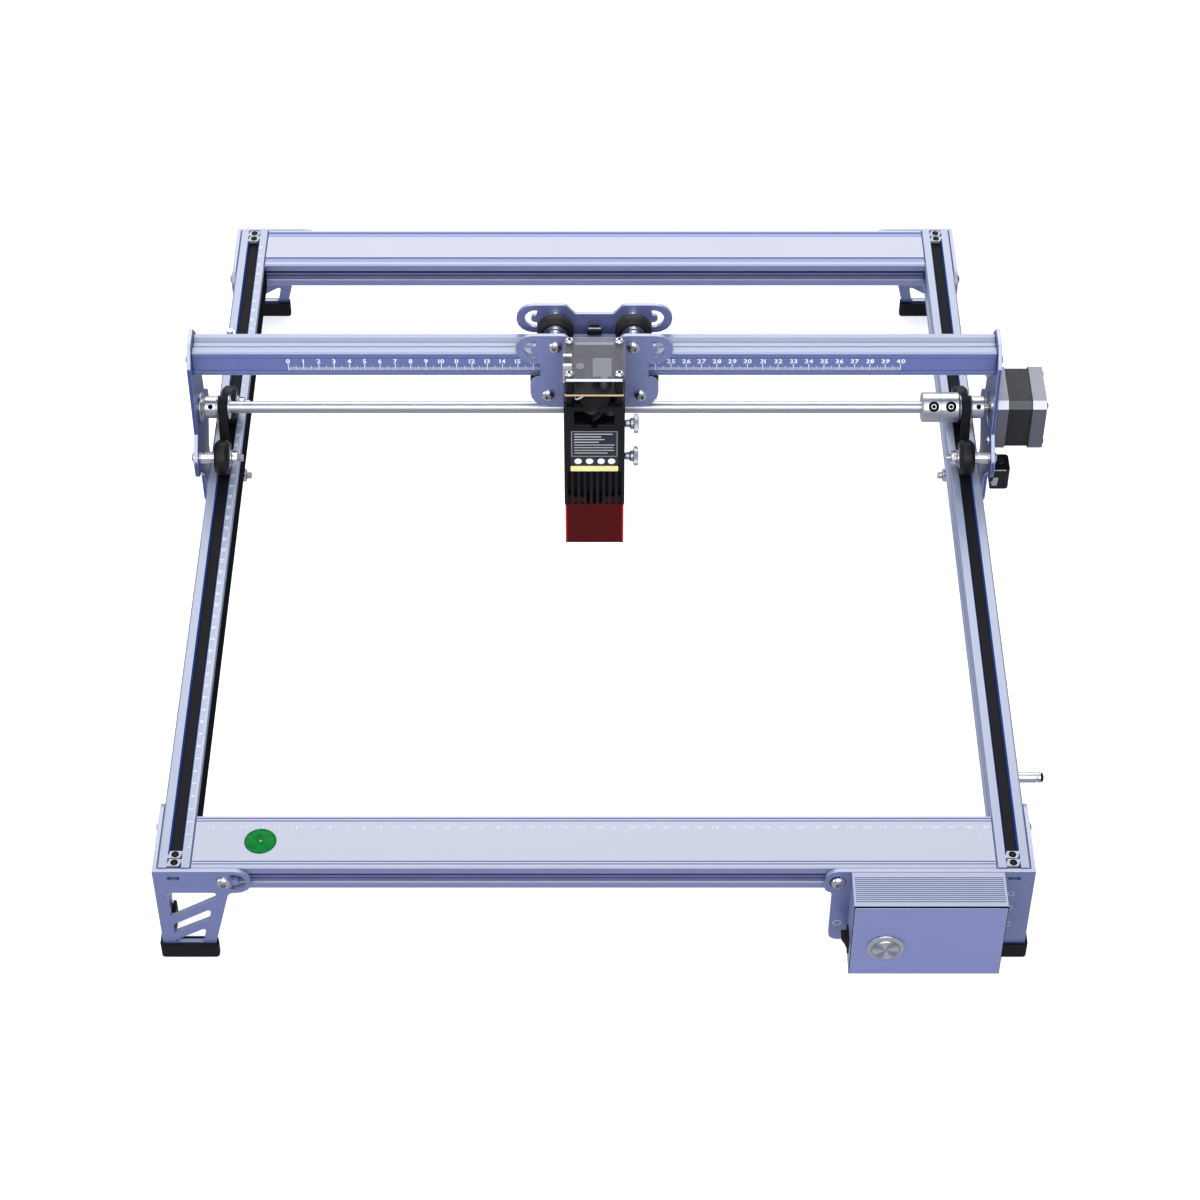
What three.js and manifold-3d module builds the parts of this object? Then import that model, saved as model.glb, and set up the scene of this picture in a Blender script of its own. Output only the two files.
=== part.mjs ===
// A desktop laser cutter: a square frame of slotted profiles on four corner brackets, a gantry that rolls
// along its two side rails, and a carriage with a diode laser that rolls along the gantry's beam.
// Millimetres. While it is built, X runs right from the middle of the frame, Y runs back from the front ends
// of the side rails, and Z runs up from the top of the side rails. The group is then shifted so that its
// origin is the middle of the footprint, on the floor.
import * as THREE from "three";
import { mergeVertices } from "three/addons/utils/BufferGeometryUtils.js";
import Module from "manifold-3d";

const wasm = await Module();
wasm.setup();

// ---- driving dimensions ----
const GAP = 0.3; // between any two pieces
const SHEET = 2.5; // every bent or cut plate
const PROFILE = 20; // square side rails and beam
const RAIL_X = 247; // middle of a side rail
const RAIL_LENGTH = 595;
const FLOOR_Z = -80;
const PANEL_DEPTH = 40; // front and rear panels, lying flat

const SLOT_MOUTH = 8.6; // slot, at the surface of a profile
const SLOT_NECK = 6.7;
const SLOT_ROOM = 10.8;
const SLOT_LIP = 1.8;
const SLOT_DEPTH = 6;

const BELT_WIDTH = 6;
const BELT_THICK = 1.2;
const BELT_SUNK = 3.2; // top of a belt below the face of its profile

const WHEEL_R = 12;
const WHEEL_HALF = 5.1; // half the width of a rubber wheel
const WHEEL_OFF = 10.7; // wheel axle from the face that it rolls on
const WHEEL_X = 247;
const PULLEY_R = 6.1;
const PULLEY_BELT_R = 7.1; // middle of the belt round a pulley

const GANTRY_Y = 368; // middle of the gantry, at rest
const Y_WHEEL_STEP = 27; // front and rear wheels from the middle of the gantry
const BEAM_Y = 369;
const BEAM_Z = 77;
const BEAM_HALF = 262.2;
const SIDE_X = 262.5; // inner face of a gantry side plate
const SHAFT_Z = 31.5;
const SHAFT_R = 4;
const MOTOR_SIDE = 42.3;
const MOTOR_LENGTH = 32.3;
const MOTOR_STACK = [7.2, 23]; // from the motor's face to the start and end of its iron stack

const UPPER_WHEEL_X = 25.4;
const LOWER_WHEEL_X = 30.4;
const CARRIAGE_FRONT_Y = 352.5; // front face of the carriage's front plate
const CARRIAGE_BACK_Y = 383; // front face of its rear plate
const X_PULLEY_Z = 44;

const LASER_HALF = 19.7;
const LASER_Y = 330.5;
const LASER_TOP = 83;
const LASER_FOOT = -3;
const SHIELD_FOOT = -39;
const BOARD_Z = 91.3;
const COVER_Z = 104.7;
const COVER_THICK = 2.4;

const BOX = { left: 151.6, right: 241.3, top: -0.8, foot: -63.7, front: -29.8, wall: 2.2 };
const BUTTON = { x: 172, z: -38, bezel: 11.2, cap: 8.2 };
const ROCKER = { y: -14, z: -50 };

// ---- materials ----
const paint = (color, roughness, metalness) => new THREE.MeshStandardMaterial({ color, roughness, metalness });
const ANODISED = paint(0x8b97c4, 0.42, 0.75);
const STEEL = paint(0xd4d6db, 0.22, 1);
const RUBBER = paint(0x1b1b1e, 0.72, 0);
const BLACK = paint(0x151518, 0.45, 0.2);
const BLACK_METAL = paint(0x1d1e24, 0.38, 0.8);
const SMOKE = paint(0x565c68, 0.12, 0);
const RED = paint(0x7a1218, 0.12, 0);
const GREEN = paint(0x8fce3c, 0.15, 0);
const BOARD = paint(0x9c8350, 0.6, 0);

// ---- solids ----
// A closed geometry as a manifold-3d solid. A profile may run either way round.
function solid(geometry) {
  const bare = new THREE.BufferGeometry().setAttribute("position", geometry.getAttribute("position"));
  if (geometry.index) bare.setIndex(geometry.index);
  const merged = mergeVertices(bare, 1e-4);
  const corners = [];
  for (let i = 0; i < merged.index.count; i += 3) {
    const [a, b, c] = [0, 1, 2].map((k) => merged.index.getX(i + k));
    if (a !== b && b !== c && c !== a) corners.push(a, b, c);
  }
  const make = (list) =>
    new wasm.Manifold(
      new wasm.Mesh({
        numProp: 3,
        vertProperties: Float32Array.from(merged.attributes.position.array),
        triVerts: Uint32Array.from(list),
      }),
    );
  const made = make(corners);
  return made.volume() > 0 ? made : make(corners.reverse());
}

function geometryOf(body) {
  const mesh = body.getMesh();
  const made = new THREE.BufferGeometry();
  made.setAttribute("position", new THREE.BufferAttribute(Float32Array.from(mesh.vertProperties), 3));
  made.setIndex(new THREE.BufferAttribute(Uint32Array.from(mesh.triVerts), 1));
  const flat = made.toNonIndexed();
  flat.computeVertexNormals();
  return flat;
}

const join = (first, ...others) => others.reduce((sum, next) => sum.add(next), first);
const cut = (first, ...others) => others.reduce((rest, next) => rest.subtract(next), first);

// A box from one corner to the opposite one.
function box(x0, x1, y0, y1, z0, z1) {
  const made = new THREE.BoxGeometry(x1 - x0, y1 - y0, z1 - z0);
  return solid(made.translate((x0 + x1) / 2, (y0 + y1) / 2, (z0 + z1) / 2));
}

// Round rods along each axis, from one end to the other.
function rodX(r, x0, x1, y, z, sides = 24) {
  return solid(new THREE.CylinderGeometry(r, r, x1 - x0, sides).rotateZ(Math.PI / 2).translate((x0 + x1) / 2, y, z));
}
function rodY(r, x, y0, y1, z, sides = 24) {
  return solid(new THREE.CylinderGeometry(r, r, y1 - y0, sides).translate(x, (y0 + y1) / 2, z));
}
function rodZ(r, x, y, z0, z1, sides = 24) {
  return solid(new THREE.CylinderGeometry(r, r, z1 - z0, sides).rotateX(Math.PI / 2).translate(x, y, (z0 + z1) / 2));
}

// Outlines pushed along an axis: (y, z) along X, (x, z) along Y and (x, y) along Z.
const extrude = (points, depth) =>
  new THREE.ExtrudeGeometry(new THREE.Shape(points.map(([a, b]) => new THREE.Vector2(a, b))), {
    depth,
    bevelEnabled: false,
  });
const swapAxes = (...rows) => new THREE.Matrix4().set(...rows.flatMap((row) => [...row, 0]), 0, 0, 0, 1);
function alongX(points, x0, x1) {
  const turn = swapAxes([0, 0, 1], [1, 0, 0], [0, 1, 0]);
  return solid(extrude(points, x1 - x0).applyMatrix4(turn).translate(x0, 0, 0));
}
function alongY(points, y0, y1) {
  return solid(extrude(points, y1 - y0).rotateX(Math.PI / 2).translate(0, y1, 0));
}
function alongZ(points, z0, z1) {
  return solid(extrude(points, z1 - z0).translate(0, 0, z0));
}

// An outline of corners [a, b, radius], with each corner rounded by an arc.
function rounded(corners, steps = 4) {
  return corners.flatMap(([a, b, radius = 0], i) => {
    if (!radius) return [[a, b]];
    const here = new THREE.Vector2(a, b);
    const toward = (j) => {
      const [c, d] = corners[(j + corners.length) % corners.length];
      return new THREE.Vector2(c - a, d - b).normalize();
    };
    const before = toward(i - 1);
    const after = toward(i + 1);
    const half = Math.acos(THREE.MathUtils.clamp(before.dot(after), -1, 1)) / 2;
    const middle = before.clone().add(after).normalize();
    const centre = here.clone().addScaledVector(middle, radius / Math.sin(half));
    const from = here.clone().addScaledVector(before, radius / Math.tan(half)).sub(centre);
    const sweep = Math.sign(before.cross(after)) * (Math.PI - 2 * half);
    return Array.from({ length: steps + 1 }, (_, k) => {
      const p = from.clone().rotateAround(new THREE.Vector2(), (-sweep * k) / steps);
      return [centre.x + p.x, centre.y + p.y];
    });
  });
}

const arc = (a, b, radius, from, to, steps) =>
  Array.from({ length: steps + 1 }, (_, k) => {
    const angle = THREE.MathUtils.degToRad(from + ((to - from) * k) / steps);
    return [a + radius * Math.cos(angle), b + radius * Math.sin(angle)];
  });

// A slot shaped like a C: part of a ring.
const ringSector = (a, b, outer, inner, from, to) => [
  ...arc(a, b, outer, from, to, 8),
  ...arc(a, b, inner, to, from, 6),
];

const mirrorX = (body) => body.mirror([1, 0, 0]);
const mirrorPoints = (points) => points.map(([a, b, r]) => [-a, b, r]).reverse();

// ---- profiles ----
const slot = (face, outward) => [
  [-SLOT_MOUTH / 2, face],
  [-SLOT_NECK / 2, face - outward * SLOT_LIP],
  [-SLOT_ROOM / 2, face - outward * SLOT_LIP],
  [-SLOT_ROOM / 2, face - outward * 3.6],
  [-SLOT_NECK / 2, face - outward * SLOT_DEPTH],
  [SLOT_NECK / 2, face - outward * SLOT_DEPTH],
  [SLOT_ROOM / 2, face - outward * 3.6],
  [SLOT_ROOM / 2, face - outward * SLOT_LIP],
  [SLOT_NECK / 2, face - outward * SLOT_LIP],
  [SLOT_MOUTH / 2, face],
];

const turn = ([a, b], quarters) => {
  const [c, s] = [
    [1, 0],
    [0, 1],
    [-1, 0],
    [0, -1],
  ][quarters];
  return [a * c - b * s, a * s + b * c];
};

// The shallow track along the top of the beam: a near wall, a floor with two thin lines, and a far slope.
const TRACK = [
  [5.6, 10], [3.35, 8], [3.35, 7.4], [2.9, 7.4], [2.9, 8], [-1.2, 8], [-1.2, 7.3], [-1.8, 7.3], [-1.8, 8],
  [-4.3, 8], [-4.3, 10],
];

// A square profile round (0, 0). Each face, top, left, foot and right, is plain, slotted, or has its own points.
function squareProfile(faces) {
  const half = PROFILE / 2;
  const soft = 1;
  const points = { plain: [], slotted: slot(half, 1).reverse(), track: TRACK };
  return faces.flatMap((face, quarter) =>
    [[half, half - soft], [half - soft, half], ...points[face]].map((p) => turn(p, quarter)),
  );
}

const moved = (points, a, b) => points.map(([c, d]) => [c + a, d + b]);

// A flat panel profile, with a slot in its front and back edges and thin lines along its top.
function panelProfile(front, lines) {
  const back = front + PANEL_DEPTH;
  const onTop = lines.flatMap(([at, width, depth]) => [
    [front + at, 0],
    [front + at, -depth],
    [front + at + width, -depth],
    [front + at + width, 0],
  ]);
  const edgeSlot = (face, way) => slot(0, 1).map(([a, b]) => [face + way * b, -PROFILE / 2 + a * way]);
  return [
    [front + 1, -PROFILE],
    [back - 1, -PROFILE],
    [back, 1 - PROFILE],
    ...edgeSlot(back, 1),
    [back, -1],
    [back - 1, 0],
    ...onTop.reverse(),
    [front + 1, 0],
    [front, -1],
    ...edgeSlot(front, -1),
    [front, 1 - PROFILE],
  ];
}

// ---- fixed frame ----
function sideRail(side) {
  const outline = moved(squareProfile(["slotted", "slotted", "slotted", "slotted"]), side * RAIL_X, -PROFILE / 2);
  return alongY(outline, 0, RAIL_LENGTH);
}

const PANEL_HALF = RAIL_X - PROFILE / 2 - GAP;
const LEVEL = { x: -197.5, y: 20, r: 9.3, depth: 3 };

function frontPanel() {
  const lines = [2.3, 4.3, 35.2, 37.2].map((at) => [at, 0.7, 0.5]);
  const pocket = rodZ(LEVEL.r + GAP, LEVEL.x, LEVEL.y, -LEVEL.depth, 5, 32);
  return cut(alongX(panelProfile(0, lines), -PANEL_HALF, PANEL_HALF), pocket);
}

function rearPanel() {
  const lines = [3, 31.5].map((at) => [at, 5.5, 0.7]);
  return alongX(panelProfile(RAIL_LENGTH - PANEL_DEPTH, lines), -PANEL_HALF, PANEL_HALF);
}

const bubbleLevel = () => rodZ(LEVEL.r, LEVEL.x, LEVEL.y, GAP - LEVEL.depth, 0.6, 32);

const pinZ = -10;
const endStopPin = () => rodX(3.3, RAIL_X + PROFILE / 2 + GAP, 273.4, 78.5, pinZ, 20);

// ---- corner brackets: two plates at right angles, drawn as (distance from the corner, height) ----
const BRACKET_TOP = -0.7;
const BRACKET_FOOT = -70.8;
const PAD_TOP = -68.2; // the plates stand in a groove in their rubber foot
const TAB = { at: 48, z: -10.6, r: 9.9 };

const plateOutline = () =>
  rounded([
    [0, BRACKET_FOOT],
    [31.4, BRACKET_FOOT, 1],
    [43.6, TAB.z - TAB.r, 4],
    [TAB.at + TAB.r, TAB.z - TAB.r, TAB.r - 0.2],
    [TAB.at + TAB.r, BRACKET_TOP, TAB.r - 0.2],
    [0, BRACKET_TOP],
  ]);

// The windows that make a truss of each plate, and the curved slot in its tab.
const plateWindows = () => [
  rounded([[6.9, -43.8, 1.2], [6.9, -20.4, 1.2], [36, -20.4, 1.6], [35.8, -25.4, 1]], 2),
  rounded([[7.4, -58.9, 1], [7.6, -50.8, 1], [31.8, -35.7, 1.2], [30.2, -45.4, 1]], 2),
  rounded([[7.6, -67.4, 0], [7.9, -65.4, 0], [27.5, -53.6, 1], [24.7, -67.4, 1]], 1),
  ringSector(TAB.at, TAB.z, 6.9, 2.6, -116, 116),
  rounded([[8.5, -8.4, 0.7], [15.8, -8.4, 0.7], [15.8, -5.5, 0.7], [8.5, -5.5, 0.7]], 2),
];

const CORNER_X = RAIL_X + PROFILE / 2 + GAP + SHEET;
const CORNER_Y = -GAP - SHEET;

// A plate facing front, and one facing right, for the front right corner.
const frontPlate = (outline) => alongY(outline.map(([d, z]) => [CORNER_X - d, z]), CORNER_Y, -GAP);
const sidePlate = (outline) =>
  alongX(outline.map(([d, z]) => [CORNER_Y + d, z]), CORNER_X - SHEET, CORNER_X);

function cornerBracket() {
  const body = join(frontPlate(plateOutline()), sidePlate(plateOutline()));
  return cut(body, ...plateWindows().map(frontPlateCutter), ...plateWindows().map(sidePlateCutter));
}
const frontPlateCutter = (outline) =>
  alongY(outline.map(([d, z]) => [CORNER_X - d, z]), CORNER_Y - 1, -GAP + 1);
const sidePlateCutter = (outline) =>
  alongX(outline.map(([d, z]) => [CORNER_Y + d, z]), CORNER_X - SHEET - 1, CORNER_X + 1);

// The front right bracket is wide: it also carries the control box.
const CARRIER_END = 119; // left edge of the carrier plate from the corner
const CARRIER_FOOT = -64.6;
function carrierBracket() {
  const outline = rounded([
    [0, BRACKET_FOOT],
    [31.4, BRACKET_FOOT, 1],
    [31.4, CARRIER_FOOT, 0],
    [CARRIER_END, CARRIER_FOOT, 5],
    [CARRIER_END, TAB.z - 9, 2],
    [CARRIER_END + 4.6, TAB.z - 9, 4],
    [CARRIER_END + 4.6, BRACKET_TOP, 8],
    [0, BRACKET_TOP],
  ]);
  const earSlot = ringSector(CARRIER_END - 3.5, TAB.z, 5.6, 2.2, -100, 100);
  const portSlot = plateWindows()[4];
  const body = join(frontPlate(outline), sidePlate(plateOutline()));
  return cut(
    body,
    frontPlateCutter(earSlot),
    frontPlateCutter(portSlot),
    ...plateWindows().map(sidePlateCutter),
  );
}

const FRAME_MID_Y = RAIL_LENGTH / 2;
const toRear = (body) => body.mirror([0, 1, 0]).translate([0, 2 * FRAME_MID_Y, 0]);

// An angle drawn round the two plates of a bracket: out is how far it goes beyond their outer faces, inn how
// far inside them, and arm how long it is.
const angle = (out, inn, arm, soft) =>
  rounded([
    [CORNER_X + out, CORNER_Y - out, soft],
    [CORNER_X + out, CORNER_Y + arm, soft],
    [CORNER_X - inn, CORNER_Y + arm, soft],
    [CORNER_X - inn, CORNER_Y + inn],
    [CORNER_X - arm, CORNER_Y + inn, soft],
    [CORNER_X - arm, CORNER_Y - out, soft],
  ], 3);

// An angle of rubber, with a groove in its top for the feet of the two plates.
const foot = () =>
  cut(
    alongZ(angle(1.9, 5.3, 33.2, 2), FLOOR_Z, PAD_TOP),
    alongZ(angle(GAP, SHEET + GAP, 34.7, 0), BRACKET_FOOT - GAP, PAD_TOP + 1),
  );

// ---- control box, on the carrier bracket ----
function boxShell() {
  const { left, right, top, foot: low, front, wall } = BOX;
  const back = CORNER_Y - GAP;
  const shell = cut(
    box(left, right, front + 1.4, back, low, top),
    box(left + wall, right - wall, front, back - wall, low + wall, top - wall),
    box(left - 1, left + wall + 1, ROCKER.y - 4.6, ROCKER.y + 4.6, ROCKER.z - 4.9, ROCKER.z + 4.9),
    box(right - wall - 1, right + 1, -20.3, -7.7, -57.3, -14.7),
  );
  const ribs = Array.from({ length: 13 }, (_, i) => front + 4.5 + i * 1.49);
  return cut(shell, ...ribs.map((y) => box(left + 1.2, right - 1.2, y, y + 0.6, top - 0.5, top + 1)));
}

function boxCover() {
  const { left, right, top, foot: low, front } = BOX;
  const inset = 0.4;
  const face = alongY(
    rounded([[left + inset, low + inset, 1], [right - inset, low + inset, 1], [right - inset, top - inset, 1],
      [left + inset, top - inset, 1]], 2),
    front,
    front + 1.1,
  );
  return cut(face, rodY(9.6, BUTTON.x, front - 1, front + 4, BUTTON.z, 32));
}

function buttonBezel() {
  const ring = rodY(BUTTON.bezel, BUTTON.x, BOX.front - 1.8, BOX.front - GAP, BUTTON.z, 32);
  const barrel = rodY(9.3, BUTTON.x, BOX.front - 1, BOX.front + 8, BUTTON.z, 32);
  return cut(join(ring, barrel), rodY(BUTTON.cap + GAP, BUTTON.x, BOX.front - 3, BOX.front + 7, BUTTON.z, 32));
}

const powerButton = () => rodY(BUTTON.cap, BUTTON.x, BOX.front - 2.4, BOX.front + 3.6, BUTTON.z, 32);

// The rocker turns about a line along Y through its middle: its outer face has two low slopes.
function rockerSwitch() {
  const x = BOX.left;
  const outline = [
    [x + 4, ROCKER.z - 3],
    [x + 4, ROCKER.z + 3],
    [x - 1.5, ROCKER.z + 4.2],
    [x - 4.7, ROCKER.z + 3.8],
    [x - 2.6, ROCKER.z],
    [x - 1.2, ROCKER.z - 4.2],
  ];
  return alongY(outline, ROCKER.y - 4, ROCKER.y + 4);
}

const mainBoard = () =>
  join(
    box(BOX.left + 5, BOX.right - 5, -7.6, -6, BOX.foot + 5, BOX.top - 5),
    box(BOX.left + 42, BOX.left + 54, -12, -7, -44, -32),
    box(BOX.left + 62, BOX.left + 68, -13, -7, -30, -24),
  );

// Three sockets in one block, set in the right wall of the box.
function portBlock() {
  const body = box(BOX.right - 10, BOX.right + 0.4, -20, -8, -57, -15);
  return cut(
    body,
    box(BOX.right - 6, BOX.right + 2, -18, -10, -26, -17.5),
    box(BOX.right - 6, BOX.right + 2, -18, -10, -38, -31),
    rodX(4, BOX.right - 6, BOX.right + 2, -14, -50, 20),
  );
}

// ---- belts, wheels and pulleys ----
const straightBelt = (side) => {
  const x = side * RAIL_X;
  const half = BELT_WIDTH / 2;
  const top = -BELT_SUNK;
  return box(x - half, x + half, 12, RAIL_LENGTH - 12, top - BELT_THICK, top);
};

// The middle line of a belt that goes round two idlers and a pulley between them, in a plane (a, b).
// It starts at the idlers' far side from the pulley, and runs round the pulley's far side from them.
function omega(idlerA, idlerB, pulleyB, idlerR, pulleyR) {
  const reach = Math.hypot(idlerA, pulleyB - idlerB);
  const lean = Math.atan2(pulleyB - idlerB, idlerA);
  const way = Math.sign(pulleyB - idlerB);
  const tilt = lean - way * Math.acos((idlerR + pulleyR) / reach);
  const deg = THREE.MathUtils.radToDeg(tilt);
  const left = [
    ...arc(-idlerA, idlerB, idlerR, -90 * way, deg, 8),
    ...arc(0, pulleyB, pulleyR, 180 + deg, 90 * way + (way < 0 ? 360 : 0), 8),
  ];
  return [...left, ...left.slice(0, -1).reverse().map(([a, b]) => [-a, b])];
}

// A ribbon of even thickness along a line of points.
function ribbon(line, thick) {
  const shifted = (by) =>
    line.map(([a, b], i) => {
      const [c, d] = line[Math.max(i - 1, 0)];
      const [e, f] = line[Math.min(i + 1, line.length - 1)];
      const length = Math.hypot(e - c, f - d);
      return [a - ((f - d) / length) * by, b + ((e - c) / length) * by];
    });
  return [...shifted(thick / 2), ...shifted(-thick / 2).reverse()];
}

const LOOP_R = WHEEL_R + GAP + BELT_THICK / 2 + 0.1;

function yBeltLoop(side) {
  const line = omega(Y_WHEEL_STEP, WHEEL_OFF, SHAFT_Z, LOOP_R, PULLEY_BELT_R);
  const x = side * RAIL_X;
  return alongX(moved(ribbon(line, BELT_THICK), GANTRY_Y, 0), x - BELT_WIDTH / 2, x + BELT_WIDTH / 2);
}

const LOWER_WHEEL_Z = BEAM_Z - PROFILE / 2 - WHEEL_OFF;
const UPPER_WHEEL_Z = BEAM_Z + PROFILE / 2 + WHEEL_OFF;

function xBeltLoop() {
  const line = omega(LOWER_WHEEL_X, LOWER_WHEEL_Z, X_PULLEY_Z, LOOP_R, PULLEY_BELT_R);
  return alongY(ribbon(line, BELT_THICK), BEAM_Y - BELT_WIDTH / 2, BEAM_Y + BELT_WIDTH / 2);
}

function xBelt() {
  const top = BEAM_Z - PROFILE / 2 + BELT_SUNK + BELT_THICK;
  const half = BELT_WIDTH / 2;
  return box(-255, 255, BEAM_Y - half, BEAM_Y + half, top - BELT_THICK, top);
}

// A turned body round the X axis: [radius, x] points of half its section, through its bore or its axis.
function turnedX(section, x, y, z, sides) {
  const points = [...section, section[0]].map(([r, at]) => new THREE.Vector2(r, at));
  return solid(new THREE.LatheGeometry(points, sides).rotateZ(-Math.PI / 2).translate(x, y, z));
}
function turnedY(section, x, y, z, sides) {
  const points = [...section, section[0]].map(([r, at]) => new THREE.Vector2(r, at));
  return solid(new THREE.LatheGeometry(points, sides).translate(x, y, z));
}

const wheelSection = [
  [5, -WHEEL_HALF],
  [9.6, -WHEEL_HALF],
  [WHEEL_R, -2.4],
  [WHEEL_R, 2.4],
  [9.6, WHEEL_HALF],
  [5, WHEEL_HALF],
];
const yWheel = (side, y, z) => turnedX(wheelSection, side * WHEEL_X, y, z, 20);
const xWheel = (x, z) => turnedY(wheelSection, x, BEAM_Y, z, 20);

const leftPulley = () =>
  turnedX(
    [
      [SHAFT_R + GAP, -12], [7.4, -12], [7.4, -4.2], [8, -4.2], [8, -3.4], [PULLEY_R, -3.4],
      [PULLEY_R, 3.4], [8, 3.4], [8, 4.2], [SHAFT_R + GAP, 4.2],
    ],
    -RAIL_X, GANTRY_Y, SHAFT_Z, 20,
  );

// The right pulley sits on the motor's own shaft, which its section includes.
const rightPulley = () =>
  turnedX(
    [
      [0, -4.2], [7.6, -4.2], [7.6, -3.4], [PULLEY_R, -3.4], [PULLEY_R, 3.4], [8, 3.4], [8, 4.2],
      [7.4, 4.2], [7.4, 12.6], [2.5, 12.6], [2.5, 15.6], [0, 15.6],
    ],
    RAIL_X, GANTRY_Y, SHAFT_Z, 20,
  );

const COUPLING = { from: 217.5, to: 242.4, r: 10 };
const coupling = () =>
  cut(
    rodX(COUPLING.r, COUPLING.from, COUPLING.to, GANTRY_Y, SHAFT_Z, 32),
    rodX(SHAFT_R + GAP, COUPLING.from - 1, COUPLING.from + 13, GANTRY_Y, SHAFT_Z, 24),
  );
const driveShaft = () => rodX(SHAFT_R, 3.5 - SIDE_X, COUPLING.from + 12, GANTRY_Y, SHAFT_Z, 24);

// ---- gantry ----
function beam() {
  const outline = squareProfile(["track", "plain", "slotted", "slotted"]);
  // The front face has a sunk band for the scale, with thin lines over and under it.
  const half = PROFILE / 2;
  const band = ([z0, z1, depth]) => box(-BEAM_HALF - 1, BEAM_HALF + 1, -half - 1, depth - half, z0, z1);
  const lines = [[7.1, 7.7, 0.5], [-6.2, 6.2, 0.4], [-8.3, -7.7, 0.5]].map(band);
  const body = alongX(outline.map(([a, b]) => [a, b]), -BEAM_HALF, BEAM_HALF);
  return cut(body, ...lines).translate([0, BEAM_Y, BEAM_Z]);
}

const BOTTOM_WHEEL_Z = -PROFILE - WHEEL_OFF;

function gantryPlate(side, hole) {
  const half = rounded([
    [0, 93],
    [8.5, 93, 2],
    [19, 80.5, 3],
    [22.5, 27.5, 3],
    [37.6, 15, 8],
    [37.6, 0.5, 7],
    [27, -2, 6],
    [15.5, -16, 4],
    [15.5, -44.5, 9],
    [0, -44.5],
  ]);
  const outline = [...half, ...mirrorPoints(half).slice(1, -1)];
  const x0 = side > 0 ? SIDE_X : -SIDE_X - SHEET;
  const body = alongX(moved(outline, GANTRY_Y, 0), x0, x0 + SHEET);
  return cut(body, rodX(hole, x0 - 1, x0 + SHEET + 1, GANTRY_Y, SHAFT_Z, 28));
}

// A square stepper motor, from its mounting face, with a round boss on that face.
const motorSquare = (side) => {
  const h = side / 2;
  const c = side * 0.098;
  return [[h, c - h], [h, h - c], [h - c, h], [c - h, h], [-h, h - c], [-h, c - h], [c - h, -h], [h - c, -h]];
};

function yMotor() {
  const face = SIDE_X + SHEET + GAP;
  const at = (side, x0, x1) => alongX(moved(motorSquare(side), GANTRY_Y, SHAFT_Z), face + x0, face + x1);
  const [stack, cap] = MOTOR_STACK;
  return join(
    at(MOTOR_SIDE, 0, stack),
    at(MOTOR_SIDE - 2, stack - 0.5, cap + 0.5),
    at(MOTOR_SIDE, cap, MOTOR_LENGTH),
    rodX(11, face - 2.3, face + 1, GANTRY_Y, SHAFT_Z, 28),
  );
}

function xMotor() {
  const face = CARRIAGE_BACK_Y + SHEET + GAP;
  const at = (side, y0, y1) => alongY(moved(motorSquare(side), 0, X_PULLEY_Z), face + y0, face + y1);
  const [stack, cap] = MOTOR_STACK;
  return join(
    at(MOTOR_SIDE, 0, stack),
    at(MOTOR_SIDE - 2, stack - 0.5, cap + 0.5),
    at(MOTOR_SIDE, cap, MOTOR_LENGTH),
    rodY(11, 0, face - 2.3, face + 1, X_PULLEY_Z, 28),
  );
}

const xPulley = () =>
  turnedY(
    [
      [0, -5], [7.4, -5], [7.4, -3.4], [PULLEY_R, -3.4], [PULLEY_R, 3.4], [7.4, 3.4],
      [7.4, 11], [2.5, 11], [2.5, 13.8], [0, 13.8],
    ],
    0, BEAM_Y, X_PULLEY_Z, 20,
  );

const SWITCH_BOX = { front: 342.3, back: 358.5, top: -2, foot: -19.3, out: 12.6 }; // level with the end-stop pin
function switchBox() {
  const { front, back, top, foot: low, out } = SWITCH_BOX;
  const x0 = SIDE_X + SHEET + GAP;
  const outline = rounded([[x0, front, 0], [x0 + out, front, 2.5], [x0 + out, back, 2.5], [x0, back, 0]], 3);
  return cut(alongZ(outline, low, top), box(x0 + 3, x0 + 8.5, front - 1, front + 4, -16.5, -8));
}

// ---- carriage ----
function carriageHalf() {
  return rounded([
    [0, 99.7],
    [12.9, 99.7, 3],
    [18.6, 107, 4],
    [51.1, 107, 11.4],
    [51.1, 84, 11.4],
    [35.3, 84, 2],
    [35.3, 70.7, 1],
    [42, 70.7, 6],
    [42, 46.6, 11.5],
    [0, 46.6],
  ]);
}

function carriagePlate(y0) {
  const half = carriageHalf();
  const body = alongY([...half, ...mirrorPoints(half).slice(1, -1)], y0, y0 + SHEET);
  const curve = ringSector(38.5, 95.6, 7.2, 3, -102, 102);
  const cutter = (points) => alongY(points, y0 - 1, y0 + SHEET + 1);
  return cut(body, cutter(curve), cutter(mirrorPoints(curve)));
}

// The motor hangs below the rear plate's edge, so that plate has a tongue under it.
function rearPlate() {
  const tongue = box(-19, 19, CARRIAGE_BACK_Y, CARRIAGE_BACK_Y + SHEET, 24, 50);
  const body = join(carriagePlate(CARRIAGE_BACK_Y), tongue);
  return cut(body, rodY(11.4, 0, CARRIAGE_BACK_Y - 1, CARRIAGE_BACK_Y + SHEET + 1, X_PULLEY_Z, 28));
}

const MOUNT = { half: 8, front: 347, foot: 12, top: 65.7 };
const mountRail = () =>
  join(
    box(-MOUNT.half, MOUNT.half, MOUNT.front, CARRIAGE_FRONT_Y - GAP, 48, MOUNT.top),
    box(-MOUNT.half, MOUNT.half, MOUNT.front, 350, MOUNT.foot, 49),
  );

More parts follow.
